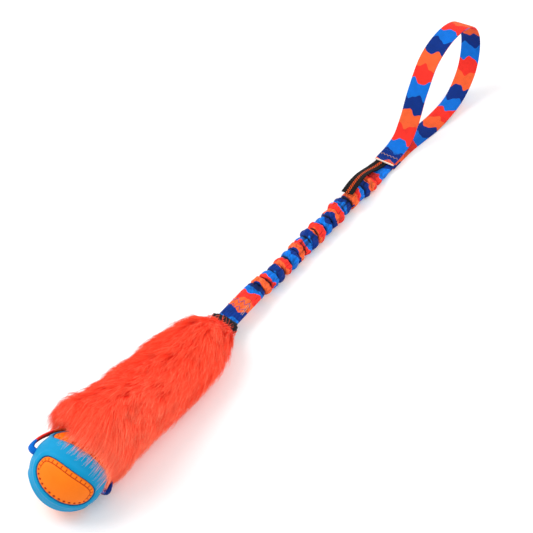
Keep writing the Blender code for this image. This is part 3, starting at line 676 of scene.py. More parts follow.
def panel_relief(inward, facing):
    """How far a ring of the panel lies under its face, and how much painted shade its creases get."""
    sleeve_side = ease((facing + 0.62) / 0.3)
    edge_round = EDGE_DEPTH * (1 - ease((inward - 0.1) / 1.1)) ** 2
    groove = GROOVE_DEPTH * math.exp(-((inward - GROOVE_AT) / 0.38) ** 2) * sleeve_side
    tick_reach = ease((inward - 1.3) / 0.5) * (1 - ease((inward - 4.3) / 0.4))
    tick = TICK_DEPTH * np.exp(-(from_tick / 0.5) ** 2) * tick_reach * sleeve_side
    pit = PIT_DEPTH * np.exp(-(from_tick ** 2 + (inward - PITS_AT) ** 2) / 0.98 ** 2) * (1 - sleeve_side)
    press = np.maximum.reduce([groove, tick, pit])
    dome = PANEL_DOME * ease((inward - 5) / 12)
    # Painted shade in the groove, ticks and pits, and a little on the rounded edge
    return edge_round + press - dome, np.clip(press * 1.4 + edge_round * 0.3, 0, 1)


rings, creases = [], []
for inward in (0.2, 0.2, *np.linspace(0.2, 6.0, 30), *np.linspace(6.6, 13.8, 9)):
    points, facing = panel_outline(inward, LAP)
    below, crease = panel_relief(inward, facing)
    rings.append((points, below))
    creases.append(crease)
rings[0] = (rings[0][0], PANEL_BACK)
core = rings[-1][0]
heart = core.mean(0)
for share in (0.75, 0.5, 0.25):
    rings.append((heart + (core - heart) * share, -PANEL_DOME))
    creases.append(np.zeros(LAP))
count = len(rings) * LAP
first = np.arange(LAP)
last = first + count - LAP
top_fan = np.stack((last, np.roll(last, -1), np.full(LAP, count)), -1)
back_fan = np.stack((np.roll(first, -1), first, np.full(LAP, count + 1)), -1)
panels = []
for number, turn in enumerate(PANEL_TURNS, 1):
    rows = [on_ball(points[:, 0], points[:, 1], np.broadcast_to(PANEL_FACE - below, LAP), turn)
            for points, below in rings]
    tip, hub = (on_ball(heart[:1], heart[1:], PANEL_FACE - below, turn)
                for below in (-PANEL_DOME, PANEL_BACK))
    panel = new_piece(f"ball_panel_rubber_{number}", np.concatenate((*rows, tip, hub)),
                      [ring_faces(len(rows), LAP), top_fan, back_fan])
    store_crease(panel, np.concatenate((*creases, [0.0, 0.0])))
    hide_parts(f"ball_panel_{number}")
    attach(panel, "ball")
    panels.append(panel)
# The second colour is the painted shade in the groove, ticks and pits
orange_rubber = moulded_rubber("orange panel rubber", srgb(255, 124, 18), srgb(176, 40, 6), 0.5,
                               0.0014, 0.0005)
for panel in panels:
    panel.data.materials.append(orange_rubber)
print("panels:", len(panels), "with", len(panels[0].data.polygons), "faces each")

# %% [markdown]
# ## Flat straps
# Webbing is a flat woven strap with softly rounded edges. It is swept along a route of points
# that also give its roll, with a UV map that counts along the strap and across its width, so
# both faces and the edges carry the print as real printed webbing does.

# %% Strap sweep
WEB_HALF, WEB_THIN = 11.0, 0.8                      # half the webbing's width and thickness
STRAP_SIDES = 24


def oval(count, power):
    """Corners of a flattened ring, from -1 to 1 both ways. A higher power squares it off."""
    angle = math.tau * (np.arange(count) + 0.5) / count
    shape = np.stack((np.cos(angle), np.sin(angle)), -1)
    return np.sign(shape) * np.abs(shape) ** (2 / power)


def strap_frames(route):
    """Across and face directions of a strap that lies across Y and rolls about its route."""
    heading = unit(np.gradient(route[:, :3], axis=0))
    across = unit(np.array([0, 1.0, 0]) - heading * heading[:, 1:2])
    roll = -np.radians(route[:, 3])[:, None]
    across = across * np.cos(roll) + np.cross(heading, across) * np.sin(roll)
    return across, np.cross(across, heading)


def strap_uv(distance, section):
    """UV pairs of a strap's points: along it, and across the webbing's width."""
    across = np.broadcast_to(section[:, 0] * WEB_HALF, (len(distance), len(section)))
    return np.stack((np.broadcast_to(distance[:, None], across.shape), across), -1).reshape(-1, 2)


def sweep(name, middle, across, face, half_width, half_thickness, material, sides=STRAP_SIDES, uv_start=0.0):
    """A strap along the points of its middle, with its two directions at each."""
    section = oval(sides, 5.0)
    rings = (middle[:, None, :3] + across[:, None, :] * section[None, :, :1] * half_width
             + face[:, None, :] * section[None, :, 1:] * half_thickness)
    return capped_skin(name, rings, strap_uv(walked(middle) + uv_start, section), material)


print("strap sweep is ready")

# %% [markdown]
# ## Strap through the ball
# The ball's strap is the same webbing, folded double beside the ball and bunched where it goes
# through the bore. The fold is modelled as a soft channel along its outer face.

# %% Ball strap
PIVOT = 50.0                                        # station where the loop is sewn to the sleeve
LEG = BALL_HEIGHT + 0.6 + 1.6                       # from the ball's middle to the strap beside it
OUTSIDE = BALL_RADIUS + 1.5
ARC_END, ARC_STEP = 32, 16                          # degrees
BALL_STRAP_SIDES = 28
strap_print = printed_cloth("printed webbing, ball strap", band=0.015, start=0.018, sway=0.16,
                            threads=(0.0009, 0.0008), thread_depth=0.00025, roughness=0.62)


def strap_side(side):
    """Half the strap in its own plane. The fourth value is 0 bunched, 1 folded double and 2 flat."""
    leaves = 90 + side * BORE_TURN
    last = leaves - 17
    polar = [(leaves, 0.0, 0.0), (leaves, BALL_RADIUS - 1.5, 0.0), (leaves, OUTSIDE, 0.1),
             (leaves - 2.2, OUTSIDE + 2.3, 0.3), (leaves - 8, OUTSIDE + 2.9, 0.7), (last, LEG + 0.8, 1.0)]
    arcs = math.ceil((last - ARC_END) / ARC_STEP)
    polar += [(mix(last, ARC_END, (k + 1) / arcs), LEG, 1.0) for k in range(arcs)]
    points = [(r * math.cos(math.radians(a)), side * r * math.sin(math.radians(a)), 0.0, v)
              for a, r, v in polar]
    end = PIVOT - 1.9
    x, y = points[-1][:2]
    points += [(mix(x, end, 0.5), y * 0.45, 0, 1.35), (end - 5, side * 3.84, 0, 1.8),
               (end, side * 0.95, 0, 2)]
    return smooth_route(points, 0.8, ROLL_APART)


path = np.concatenate((strap_side(-1)[::-1], strap_side(1)[1:]))
heading = unit(np.gradient(path[:, :3], axis=0))
face = np.stack((-heading[:, 1], heading[:, 0], np.zeros(len(path))), -1)
folded, opened = ease(path[:, 3]), ease(path[:, 3] - 1)
half_thickness = mix(mix(2.8, 1.4, folded), WEB_THIN, opened)
half_height = mix(mix(2.9, 3.7, folded), WEB_HALF, opened)
section = oval(BALL_STRAP_SIDES, 2.6)
tilt = LOOP_TILT * (1 - ease((path[:, 0] - 22) / 23))
rows = []
for k in range(len(path)):
    shape = section * (half_height[k], half_thickness[k])
    fold = 0.55 * folded[k] * (1 - opened[k]) * np.exp(-(section[:, 0] / 0.3) ** 2)
    shape[:, 1] -= np.sign(shape[:, 1]) * fold
    ring = path[k, :3] + np.array([0, 0, 1.0]) * shape[:, :1] + face[k] * shape[:, 1:]
    rows.append(ring @ turned_by(tilt[k], "X").T + BALL_MIDDLE)
ball_strap = capped_skin("ball_strap_webbing", np.array(rows), strap_uv(walked(path), section), strap_print)
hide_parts("ball_strap")
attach(ball_strap, "ball_loop")
print("ball strap is", round(float(walked(path)[-1]), 1), "mm long")

# %% [markdown]
# ## Hand loop
# One length of webbing makes the hand loop. Its cut end lies on the sewn joint, it rises over
# the hand and comes back along the floor under the joint. It is printed on both faces, and the
# two prints are out of step. It bends where the loop leaves the joint.

# %% Hand loop webbing
HANDLE_PIVOT, JOINT_SIDE = 531.0, -1.2              # station and side of the sewn joint's end
BAND = 16.45                                        # one colour's length on the webbing
PRINT_SHIFT = -24.6                                 # from the print of one face to the other's
HAND_LOOP = ((13.1, -1.4, 12.6, 0), (24.2, -1.2, 25.8, 0), (39.7, -1.2, 59.0, 0), (59.8, -2.0, 88.8, 0),
             (92.1, -4.4, 102.0, 2), (126.4, -6.1, 93.5, 3), (144.5, -6.7, 65.2, 4), (138.1, -9.3, 31.5, -3),
             (111.5, -10.8, 9.6, -11), (82.0, -9.8, 3.3, -6), (60.0, -7.7, 1.0, 0), (40.0, -5.0, 0.8, 0),
             (18.0, -2.2, 0.8, 0))
loop_points = [(507, JOINT_SIDE, 7.3, 0), (516, JOINT_SIDE, 7.3, 0), (525, JOINT_SIDE, 7.35, 0),
               (534, JOINT_SIDE, 8.6, 0)]
loop_points += [(HANDLE_PIVOT + x, y, z, roll) for x, y, z, roll in HAND_LOOP]
loop_points += [(540, -1.6, 0.8, 0), (527, JOINT_SIDE, 0.8, 0), (510, JOINT_SIDE, 0.8, 0)]
loop_route = smooth_route(loop_points, 1.0, ROLL_APART)
loop_print = printed_cloth("printed webbing, hand loop", band=BAND * MM, start=0.0, sway=0.17,
                           threads=(0.0009, 0.0008), thread_depth=0.00022, roughness=0.6)
hand_loop = sweep("hand_loop_webbing", loop_route, *strap_frames(loop_route), WEB_HALF, WEB_THIN, loop_print,
                  uv_start=-3.0)

# Half of each ring's quads lie on the inner face, and their print moves along
layer = hand_loop.data.uv_layers["UVMap"]
uv = np.zeros(len(hand_loop.data.loops) * 2, np.float32)
layer.data.foreach_get("uv", uv)
uv = uv.reshape(-1, 2)
inner = np.repeat(np.tile(np.arange(STRAP_SIDES), len(loop_route) - 1) < STRAP_SIDES // 2, 4)
uv[:len(inner), 0] += np.where(inner, PRINT_SHIFT * MM, 0.0)
layer.data.foreach_set("uv", uv.ravel())
on_floor = np.array([v.co for v in hand_loop.data.vertices])
on_floor[:, 2] = np.maximum(on_floor[:, 2], 0.0)
move_points(hand_loop, on_floor)

# The first ring of quads and the first cap are the cut end
raw_edge, tree, shader = new_material("cut edge of the webbing", 0.8)
frayed = noise(tree, surface_map(tree), 900.0, 2.0)
frayed_colour = blend_colours(tree, frayed, srgb(228, 190, 168), srgb(255, 240, 226))
cover(tree, shader, frayed_colour, frayed, 0.6, 0.0003)
hand_loop.data.materials.append(raw_edge)
edge_faces = np.zeros(len(hand_loop.data.polygons), np.int32)
edge_faces[:STRAP_SIDES] = 1
edge_faces[-2] = 1
hand_loop.data.polygons.foreach_set("material_index", edge_faces)
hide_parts("handle_loop", "handle_upper_ply", "handle_lower_ply")
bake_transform(hand_loop)
print("hand loop webbing is", round(float(walked(loop_route)[-1])), "mm long")

# %% [markdown]
# ## Gathered bungee
# A tube of printed cloth much longer than the elastic inside it is gathered up on the elastic.
# Each gather is a soft puff between two deep valleys, and no two puffs are alike. The tube is
# one cloth from the flat tab at the cuff to the flat end in the hand loop's joint, so it is made
# in one go: rings along the line of the toy, whose radius swells and falls with the gathers.

# %% Lie of the bungee
TUBE_START, GATHER_START, GATHER_END, TUBE_END, GATHERS = 224.0, 263.0, 498.0, 533.0, 20
PITCH = (GATHER_END - GATHER_START) / GATHERS
TAB_HALF, NECK_HEIGHT, JOINT_HEIGHT = 10.6, 15.0, 3.5
BUNGEE_LINE = ((GATHER_START, 0.0, NECK_HEIGHT), (293, 0.0, 12.0), (335, -0.6, 10.1), (365, -1.4, 10.1),
               (400, -2.6, 10.1), (440, -3.1, 10.1), (460, -3.8, 9.0), (480, -3.4, 6.0),
               (GATHER_END, JOINT_SIDE, JOINT_HEIGHT))
bungee_route = np.concatenate((((TUBE_START, 0.0, NECK_HEIGHT),), smooth_route(BUNGEE_LINE, 2.0),
                               ((TUBE_END, JOINT_SIDE, JOINT_HEIGHT),)))
# The print's borders, as station and number of bands from the tab's orange
PRINT_KNOTS = np.array((
    (224, -1.35), (239, -0.05), (255, 1.0), (266, 2.2), (270, 3.3), (276, 4.0), (284, 5.0), (293, 6.5),
    (305, 7.6), (314, 9.0), (324, 10.5), (334, 11.5), (342, 13.0), (354, 14.5), (364, 15.6), (371, 17.0),
    (381, 18.5), (395, 19.6), (405, 21.0), (415, 22.5), (426, 23.6), (436, 25.0), (451, 27.0), (461, 28.3),
    (471, 29.3), (484, 30.0), (500, 31.0), (533, 33.2)))


def bungee_middle(station):
    """Where the tube's middle lies at one or more stations."""
    side, height = (np.interp(station, bungee_route[:, 0], bungee_route[:, k]) for k in (1, 2))
    return np.stack((station, side, height), -1)


def roundness(station):
    """0 where the tube lies flat at its sewn ends, and 1 where it is round."""
    return np.minimum(ease((station - GATHER_START) / 11.0), ease((GATHER_END - station) / 42.0))


print("gathers are", round(PITCH, 2), "mm apart")

# %% [markdown]
# A gather's ring has a radius between that of its valley and that of its peak, by the puff's
# curve. Each gather draws its own fullness, bulge, lean and pleats, and its valleys slant. The
# tube is flat before the first gather and after the last, and round between them.

# %% Gathered cloth
AROUND, RINGS_PER_GATHER, SEAM = 96, 20, math.radians(-150)
NARROW_VALLEY = 0.9                                 # how much closer rings lie in a valley
PEAK, BULGE, TWIN_BULGE, SEAM_BULGE = 9.3, 0.9, 0.55, 2.1
VALLEY, DENT = 5.5, 0.8
PLEATS = ((8, 2.2, 0.46), (15, -3, 0.20), (23, 0, 0.06))    # number round, turn in a gather, depth
TAB_THICK, ROOT_THICK = 1.9, 2.9                    # half the tube's height where it is flat
draw = np.random.default_rng(11)
angle = math.tau * (np.arange(AROUND) + 0.5) / AROUND
fullness = draw.uniform(0.72, 1.12, GATHERS)
bulge_way, twin_way, lean_way = (draw.uniform(0, math.tau, GATHERS) for _ in range(3))
lean_size = draw.uniform(0.6, 2.4, GATHERS)
valley_way, valley_size = draw.uniform(0, math.tau, GATHERS + 1), draw.uniform(0.5, 2.2, GATHERS + 1)
valley_size[[0, -1]] = 0
pleat_phase = draw.uniform(0, math.tau, (GATHERS, 4))
rings, stations = [], []


def add_flat_ring(station, half_width, half_height, power):
    """One ring of a flat stretch of the tube."""
    section = oval(AROUND, power)
    across = np.stack((np.zeros(AROUND), section[:, 0] * half_width, section[:, 1] * half_height), -1)
    rings.append(bungee_middle(np.array([station]))[0] + across)
    stations.append(np.full(AROUND, station))


def gather_radius(cell, t):
    """The tube's radius all round, at a share of the way through one gather, and its puff."""
    puff = (0.5 - 0.5 * math.cos(math.tau * t)) ** 0.55
    seam = np.maximum(0, np.cos(angle - SEAM)) ** 3
    peak = PEAK + BULGE * np.cos(angle - bulge_way[cell]) + TWIN_BULGE * np.cos(2 * angle - twin_way[cell])
    peak = peak * mix(1, fullness[cell], 0.35) + SEAM_BULGE * seam * (0.55 + 0.45 * math.sin(2.3 * cell))
    valley = VALLEY + 0.2 * np.cos(2 * angle + bulge_way[cell])
    pleats = sum(depth * np.sin(number * angle + pleat_phase[cell, k] + twist * t)
                 for k, (number, twist, depth) in enumerate(PLEATS))
    two_dents = np.maximum(0, np.cos(2 * angle - pleat_phase[cell, 3]))
    dent = DENT * puff * math.exp(-((t - 0.5) / 0.14) ** 2) * two_dents
    return valley + (peak - valley) * puff + pleats * (0.35 + 0.65 * math.sin(math.pi * t)) - dent, puff


for station in np.arange(TUBE_START + 1, GATHER_START - 0.1, 1.0):
    swell = ease((station - 250) / 13)
    ripple = 0.25 * math.sin(station * 1.9) * swell
    open_end = ease((station - 224.6) / 2.2)
    half_height = mix(0.5, mix(TAB_THICK, ROOT_THICK, swell), open_end)
    add_flat_ring(station, TAB_HALF + 0.3 * ripple, half_height, mix(3.2, 2.4, swell))
for step in range(GATHERS * RINGS_PER_GATHER + 1):
    number = step / RINGS_PER_GATHER
    cell = min(int(number), GATHERS - 1)
    edge, t = cell + 1, number - cell
    radius, puff = gather_radius(cell, t)
    valley_shift = ((1 - t) * valley_size[cell] * np.cos(angle - valley_way[cell])
                    + t * valley_size[edge] * np.cos(angle - valley_way[edge]))
    station = GATHER_START + PITCH * (number - NARROW_VALLEY * math.sin(math.tau * t) / math.tau)
    place = station + valley_shift + lean_size[cell] * puff * np.cos(angle - lean_way[cell])
    rest = float(GATHER_START + number * PITCH)
    spread = float(roundness(rest))
    wide = mix(TAB_HALF + 0.05 * (radius - 8), radius, spread)
    high = mix(ROOT_THICK + 0.16 * (radius - 8), radius, spread)
    shape = oval(AROUND, mix(2.6, 2.0, spread))
    middle = bungee_middle(np.clip(place * spread + rest * (1 - spread), TUBE_START, TUBE_END))
    middle[:, 0] = mix(rest, place, max(spread, 0.35)) if 0 < number < GATHERS else rest
    rings.append(middle + np.stack((np.zeros(AROUND), shape[:, 0] * wide, shape[:, 1] * high), -1))
    stations.append(np.clip(mix(rest, place, 0.55), TUBE_START, TUBE_END))
for station in np.arange(GATHER_END + 1, TUBE_END - 0.8, 1.0):
    thin = 1 - ease((station - 529.6) / 2.2)
    thick = mix(ROOT_THICK, 1.55, ease((station - GATHER_END) / 7))
    power = mix(2.6, 5, ease((station - GATHER_END) / 8))
    add_flat_ring(station, TAB_HALF - 0.1, mix(0.4, thick, thin), power)
outer = np.array(rings)
outer[:, :, 2] = np.maximum(outer[:, :, 2], 0.0)
print("bungee cloth:", outer.shape, "rings by points")

# %% [markdown]
# The cloth gets a thickness by a second set of rings a little further in, joined to the first
# at the sewn ends. The UV map follows the cloth: in a gather the print takes nearly twice as
# long as the straight line does. Where the cloth is drawn in, its crease value paints shade on it.

# %% Cloth skin
CLOTH = 0.7                                         # thickness of the wall
CREASE_RADIUS, CREASE_FADE = 6.6, 1.7


def inward(rings, depth):
    """The same rings moved in towards their middles by so many millimetres."""
    middle = rings.mean(1, keepdims=True)
    arm = rings - middle
    reach = np.maximum(np.linalg.norm(arm[:, :, 1:], axis=2, keepdims=True), 1e-6)
    share = np.clip((reach - depth) / reach, 0.05, 1)
    moved = rings.copy()
    moved[:, :, 1:] = middle[:, :, 1:] + arm[:, :, 1:] * share
    return moved


def double_skin(outer, inner):
    """Points and faces of a tube with a wall, closed at both ends."""
    rows, count = outer.shape[:2]
    points = np.concatenate((outer.reshape(-1, 3), inner.reshape(-1, 3)))
    k = np.arange(count)
    n = (k + 1) % count
    inner_first, last = rows * count, (rows - 1) * count
    start = np.stack((k, inner_first + k, inner_first + n, n), -1)
    end = np.stack((last + k, last + n, inner_first + last + n, inner_first + last + k), -1)
    return points, [ring_faces(rows, count), ring_faces(rows, count, inner_first, flip=True), start, end]


points, faces = double_skin(outer, inward(outer, CLOTH))
print_place = np.interp(np.array(stations), PRINT_KNOTS[:, 0], PRINT_KNOTS[:, 1]) * BAND
steps = np.linalg.norm(np.roll(outer, -1, 1) - outer, axis=2)
girth = np.cumsum(steps, axis=1) - steps
uv = np.stack((-print_place, girth), -1).reshape(-1, 2)
gathered_print = printed_cloth("printed cloth, gathered bungee", band=BAND * MM, start=0.0, sway=0.16,
                               threads=(0.0008, 0.0007), thread_depth=0.0007, roughness=0.5, puckered=True)
bungee = new_piece("bungee_gathered_cloth", points, faces, np.concatenate((uv, uv)), gathered_print)
reach = np.linalg.norm((outer - outer.mean(1, keepdims=True))[:, :, 1:], axis=2)
spread_at = roundness(np.array(stations).mean(1))[:, None]
# Painted shade in the valleys, where the cloth is drawn in
valley_shade = 0.92 * (1 - ease((reach - CREASE_RADIUS) / CREASE_FADE)) * spread_at
store_crease(bungee, np.concatenate((valley_shade.ravel(), valley_shade.ravel())))
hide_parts("bungee_cover", "tail_tab", "head_tab")
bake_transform(bungee)
area = sum(face.area for face in bungee.data.polygons) / 2
print("bungee cloth's area", round(area, 4), "of flat", round(0.048 * 0.46, 4), "with", len(points), "points")

# %% [markdown]
# The elastic inside is one cord, round in the gathers and flat where it is sewn, with the slight
# ridges of its woven cover turning round it.

# %% Elastic core
CORE_SIDES, CORE_STEP = 28, 1.2
CORE_RADIUS, FLAT_CORE = 4.2, (6.4, 1.3)            # and half its width and height where it is flat
RIDGES, RIDGE_TURN = 7, 0.16
core_route = bungee_middle(np.arange(GATHER_START - 1, GATHER_END + 2, CORE_STEP))
rows = len(core_route)
flat = 1 - roundness(core_route[:, :1])
shape = oval(CORE_SIDES, 2)
ridge_angle = RIDGES * np.arange(CORE_SIDES) / CORE_SIDES * math.tau + RIDGE_TURN * np.arange(rows)[:, None]
ridges = 1 + 0.035 * np.cos(ridge_angle)
wide, high = (mix(CORE_RADIUS, half, flat) for half in FLAT_CORE)
core_rings = np.stack((np.broadcast_to(core_route[:, :1], ridges.shape),
                       core_route[:, 1:2] + shape[:, 0] * wide * ridges,
                       np.maximum(core_route[:, 2:] + shape[:, 1] * high * ridges, 0.6)), -1)
core_uv = np.stack((np.repeat(core_route[:, 0], CORE_SIDES), np.tile(np.arange(CORE_SIDES), rows)), -1)


def plain_weave(name, colour, roughness, threads, depth):
    """Woven cloth of one colour, with the threads' size along and across it."""
    material, tree, shader = new_material(name, roughness)
    woven = use_group(tree, weave, Place=surface_map(tree), Along=threads[0], Across=threads[1])
    shaded = blend_colours(tree, 1.0, colour, woven["Shade"], "MULTIPLY")
    cover(tree, shader, shaded, woven["Height"], 0.6, depth)
    return material


elastic_cover = plain_weave("covered elastic", (0.62, 0.6, 0.54), 0.75, (0.0011, 0.001), 0.0002)
cord = capped_skin("elastic_cord", core_rings, core_uv, elastic_cover)
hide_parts("elastic_core")
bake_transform(cord)
print("elastic cord has", rows, "rings")

# %% [markdown]
# ## Stitches
# Threads are little tubes laid in rows over the cloth: zigzags across the joint and the tab, and
# two lines along the tab. Each row is one piece that rides with what it is sewn through.

# %% Zigzag thread
UPPER_FACE = 7.3 + WEB_THIN                         # the hand loop's top at its cut end
TAB_EDGE = 252.0                                    # station where the tab's stitched lines end


def thread_tube(name, route, radius, material, sides=6):
    """A thin round thread along a route."""
    heading = unit(np.gradient(route, axis=0))
    side = unit(np.cross(heading, (0, 0, 1.0)) + (0, 1e-6, 0))
    up = np.cross(side, heading)
    section = oval(sides, 2)
    around = side[:, None] * section[None, :, :1] + up[:, None] * section[None, :, 1:]
    return capped_skin(name, route[:, None, :] + around * radius, None, material)


def zigzag(from_y, to_y, station, swing, pitch, level):
    """A zigzag row across the cloth. level gives the height of the cloth at a station and side."""
    route = []
    for n, y in enumerate(np.arange(from_y, to_y, pitch)):
        sway = swing if n % 2 else -swing
        for t in (0.0, 0.33, 0.67):
            x, side = mix(station + sway, station - sway, t), y + pitch * t
            route.append((x, side, level(x, side) + (0.12 if t else -0.1)))
    return np.array(route)


def joint_level(x, y):
    """Height of the sewn joint's top."""
    return UPPER_FACE + 0.08


def tab_level(x, y):
    """Height of the bungee cloth's top at its sewn tab."""
    ring = outer[min(int(round(x - TUBE_START - 1)), 37)]
    top = ring[ring[:, 2] > ring[:, 2].mean()]
    order = np.argsort(top[:, 1])
    return float(np.interp(y, top[order, 1], top[order, 2])) + 0.1


def thread_material(name, colour):
    """Twisted thread, with painted shade between its turns."""
    material, tree, shader = new_material(name, 0.6)
    turns = {"Vector": object_place(tree), "Scale": 900.0, "Distortion": 1.0}
    twist = add_node(tree, "ShaderNodeTexWave", turns).outputs["Fac"]
    twisted = blend_colours(tree, twist, tuple(c * 0.72 for c in colour), colour)
    cover(tree, shader, twisted, twist, 0.4, 0.0001)
    return material


blue_thread = thread_material("dark blue thread", srgb(30, 84, 176))
pale_thread = thread_material("pale thread", srgb(226, 176, 150))
joint_rows = ((510.5, blue_thread), (518.0, pale_thread), (525.0, blue_thread))
for number, (station, thread) in enumerate(joint_rows, 1):
    route = zigzag(JOINT_SIDE - 10, JOINT_SIDE + 10, station, 1.1, 1.9, joint_level)
    row = thread_tube(f"joint_stitches_{number}", route, 0.21, thread)
    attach(row, "head")
for number, station in enumerate((242.0, 250.0), 1):
    route = zigzag(-9.4, 9.4, station, 2.6, 3.1, tab_level)
    row = thread_tube(f"tab_stitches_{number}", route, 0.24, blue_thread)
    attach(row, "lead")
for number, side in enumerate((-5.4, -6.9), 1):
    route = np.array([(x, side - 0.12 * (TAB_EDGE - x), tab_level(x, side) + 0.14 * math.sin(x * 3.6))
                      for x in np.arange(TAB_EDGE - 16, TAB_EDGE, 0.35)])
    row = thread_tube(f"tab_line_{number}", route, 0.22, pale_thread)
    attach(row, "lead")
print("stitch rows:", len(joint_rows), "on the joint and 4 on the tab")

# %% [markdown]
# ## Label
# The label is a folded strip of black twill, and its two ends are caught in the hand loop's
# joint. It stands up from the bungee a little and twists. It carries no lettering: a woven
# wave line in the webbing's orange is all its pattern.

# %% Woven label
LABEL_LINE = ((430, -3.0, 22.0, 0), (446, -1.0, 22.0, 8), (462, 1.0, 19.6, 16), (478, 2.4, 14.0, 14),
              (490, 2.4, 9.5, 6), (502, 2.2, 6.3, 0), (505.5, 2.0, 5.8, 0), (511, 2.0, 5.8, 0))
PLY, LABEL_HALF = 0.34, 6.25
APART = PLY * 0.95                                  # from the label's middle to each ply's
WAVE_HEIGHT, LINE_HALF = 0.0012 * 1.7, 0.0008       # of the woven lines, in metres
label_route = smooth_route(LABEL_LINE, 0.8, ROLL_APART)
across, face = strap_frames(label_route)
line = label_route[:, :3]
heading = unit(np.gradient(line, axis=0))
bend = np.linspace(math.pi / 2, math.pi * 1.5, 7)[1:-1]
fold = np.stack((PLY * 0.9 * np.cos(bend), APART * np.sin(bend)), -1)
turned = heading[0] * fold[:, :1] + face[0] * fold[:, 1:]
strip = np.concatenate(((line + face * APART)[::-1], line[0] + turned, line - face * APART))
strip_across = np.concatenate((across[::-1], np.repeat(across[:1], len(turned), 0), across))
strip_face = np.concatenate((face[::-1], unit(turned), -face))
twill, tree, shader = new_material("black label twill", 0.7, gloss=0.1)
axes = axes_of(tree, surface_map(tree))
rib_turns = calculate(tree, "MULTIPLY_ADD", axes["X"], 9000.0, calculate(tree, "MULTIPLY", axes["Y"], 9000.0))
ribs = calculate(tree, "SINE", rib_turns)
wave = calculate(tree, "SINE", calculate(tree, "MULTIPLY", axes["X"], 900.0))
wave = calculate(tree, "MULTIPLY", wave, WAVE_HEIGHT)
lines = [calculate(tree, "ABSOLUTE", calculate(tree, kind, axes["Y"], wave)) for kind in ("SUBTRACT", "ADD")]
on_line = calculate(tree, "LESS_THAN", calculate(tree, "MINIMUM", *lines), LINE_HALF)
# Painted shade between the twill's ribs: lighter on their crests, darker between them
ground = blend_colours(tree, calculate(tree, "MULTIPLY_ADD", ribs, 0.5, 0.5), srgb(4, 4, 5), srgb(34, 32, 34))
lined = blend_colours(tree, calculate(tree, "MULTIPLY", on_line, 0.85), ground, srgb(235, 84, 20))
cover(tree, shader, lined, ribs, 0.5, 0.0001)
label = sweep("woven_label", strip, strip_across, strip_face, LABEL_HALF, PLY / 2, twill, sides=16)
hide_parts("side_label")
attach(label, "head")
print("label strip is", round(float(walked(strip)[-1])), "mm long before folding")

# %% [markdown]
# ## Sleeve
# The sleeve is four layers: a black lining with a hem at the mouth, the fur's backing cloth, the
# fur itself and a gathered knit collar at the neck. One table gives the sleeve's section along
# its length, and every layer is that section at its own depth.

# %% Sleeve section
# Station, half the width, half the height, thickness of the wall, and rise of the middle
SLEEVE = ((34.0, 34.0, 40.0, 6.0, 0.0), (55.0, 33.2, 37.2, 6.5, 0.0), (85.0, 33.6, 32.4, 8.0, 0.0),
          (112.0, 34.0, 27.8, 8.0, 0.0), (142.0, 34.0, 24.4, 7.5, 0.0), (166.0, 31.7, 23.4, 7.0, 0.0),
          (187.0, 27.2, 21.6, 6.0, 0.5), (203.0, 20.8, 16.2, 3.2, 3.0), (214.0, 15.2, 9.8, 2.0, 5.7))
MOUTH, NECK = 34.0, 214.0
sleeve_route = smooth_route(SLEEVE, 1.5)
sleeve_angles = math.tau * np.arange(120) / 120     # from the left side up and over the top


def section_at(station, column):
    """A value of the section table at any station."""
    return np.interp(station, sleeve_route[:, 0], sleeve_route[:, column])


def sleeve_point(station, angle, depth):
    """Places so many millimetres inside the sleeve's surface. Arrays of one shape."""
    shown = np.clip(station, MOUTH, NECK)
    wide, high, lift = (section_at(shown, k) for k in (1, 2, 4))
    beyond = np.maximum(MOUTH - station, 0)
    y = np.cos(angle) * (wide - depth - 0.12 * beyond)
    z = high - 0.5 + lift - 0.10 * beyond + np.sin(angle) * (high - depth - 0.12 * beyond)
    return np.stack((station, y, z), -1)


def sleeve_tube(name, stations, outside, inside, ripple, material):
    """A soft tube between two depths under the sleeve's surface. The ripple moves both."""
    along, angle = np.meshgrid(stations, sleeve_angles, indexing="ij")
    skins = []
    for depth, lowest in ((outside, 0.1), (inside, 0.5)):
        layer = sleeve_point(along, angle, np.broadcast_to(depth, len(stations))[:, None] + ripple)
        layer[:, :, 2] = np.maximum(layer[:, :, 2], lowest)
        skins.append(layer)
    points, faces = double_skin(*skins)
    uv = np.stack((along, angle * 28.0), -1).reshape(-1, 2)
    return new_piece(name, points, faces, np.concatenate((uv, uv)), material)


def knit_material(name, dark, light, rib, roughness):
    """A knit of little V shaped stitches in columns, so many metres wide, with painted shade between them."""
    material, tree, shader = new_material(name, roughness, gloss=0.15)
    place = surface_map(tree)
    axes = axes_of(tree, place)
    column = calculate(tree, "SINE", calculate(tree, "MULTIPLY", axes["Y"], math.pi / rib))
    column = calculate(tree, "ABSOLUTE", column)
    rise = calculate(tree, "MULTIPLY", axes["X"], math.tau / rib)
    tooth = calculate(tree, "SINE", calculate(tree, "MULTIPLY_ADD", column, 1.6, rise))
    stitch = calculate(tree, "MULTIPLY_ADD", tooth, 0.5, 0.5)
    fuzz = noise(tree, place, 1500.0, 2.0)
    height = calculate(tree, "ADD", calculate(tree, "MULTIPLY", stitch, column), fuzz)
    # Painted light and shade: lighter where the stitches stand up, and a random tone from the fuzz
    colour = blend_colours(tree, calculate(tree, "MULTIPLY", height, 0.6), dark, light)
    cover(tree, shader, colour, height, 0.7, 0.0003)
    return material


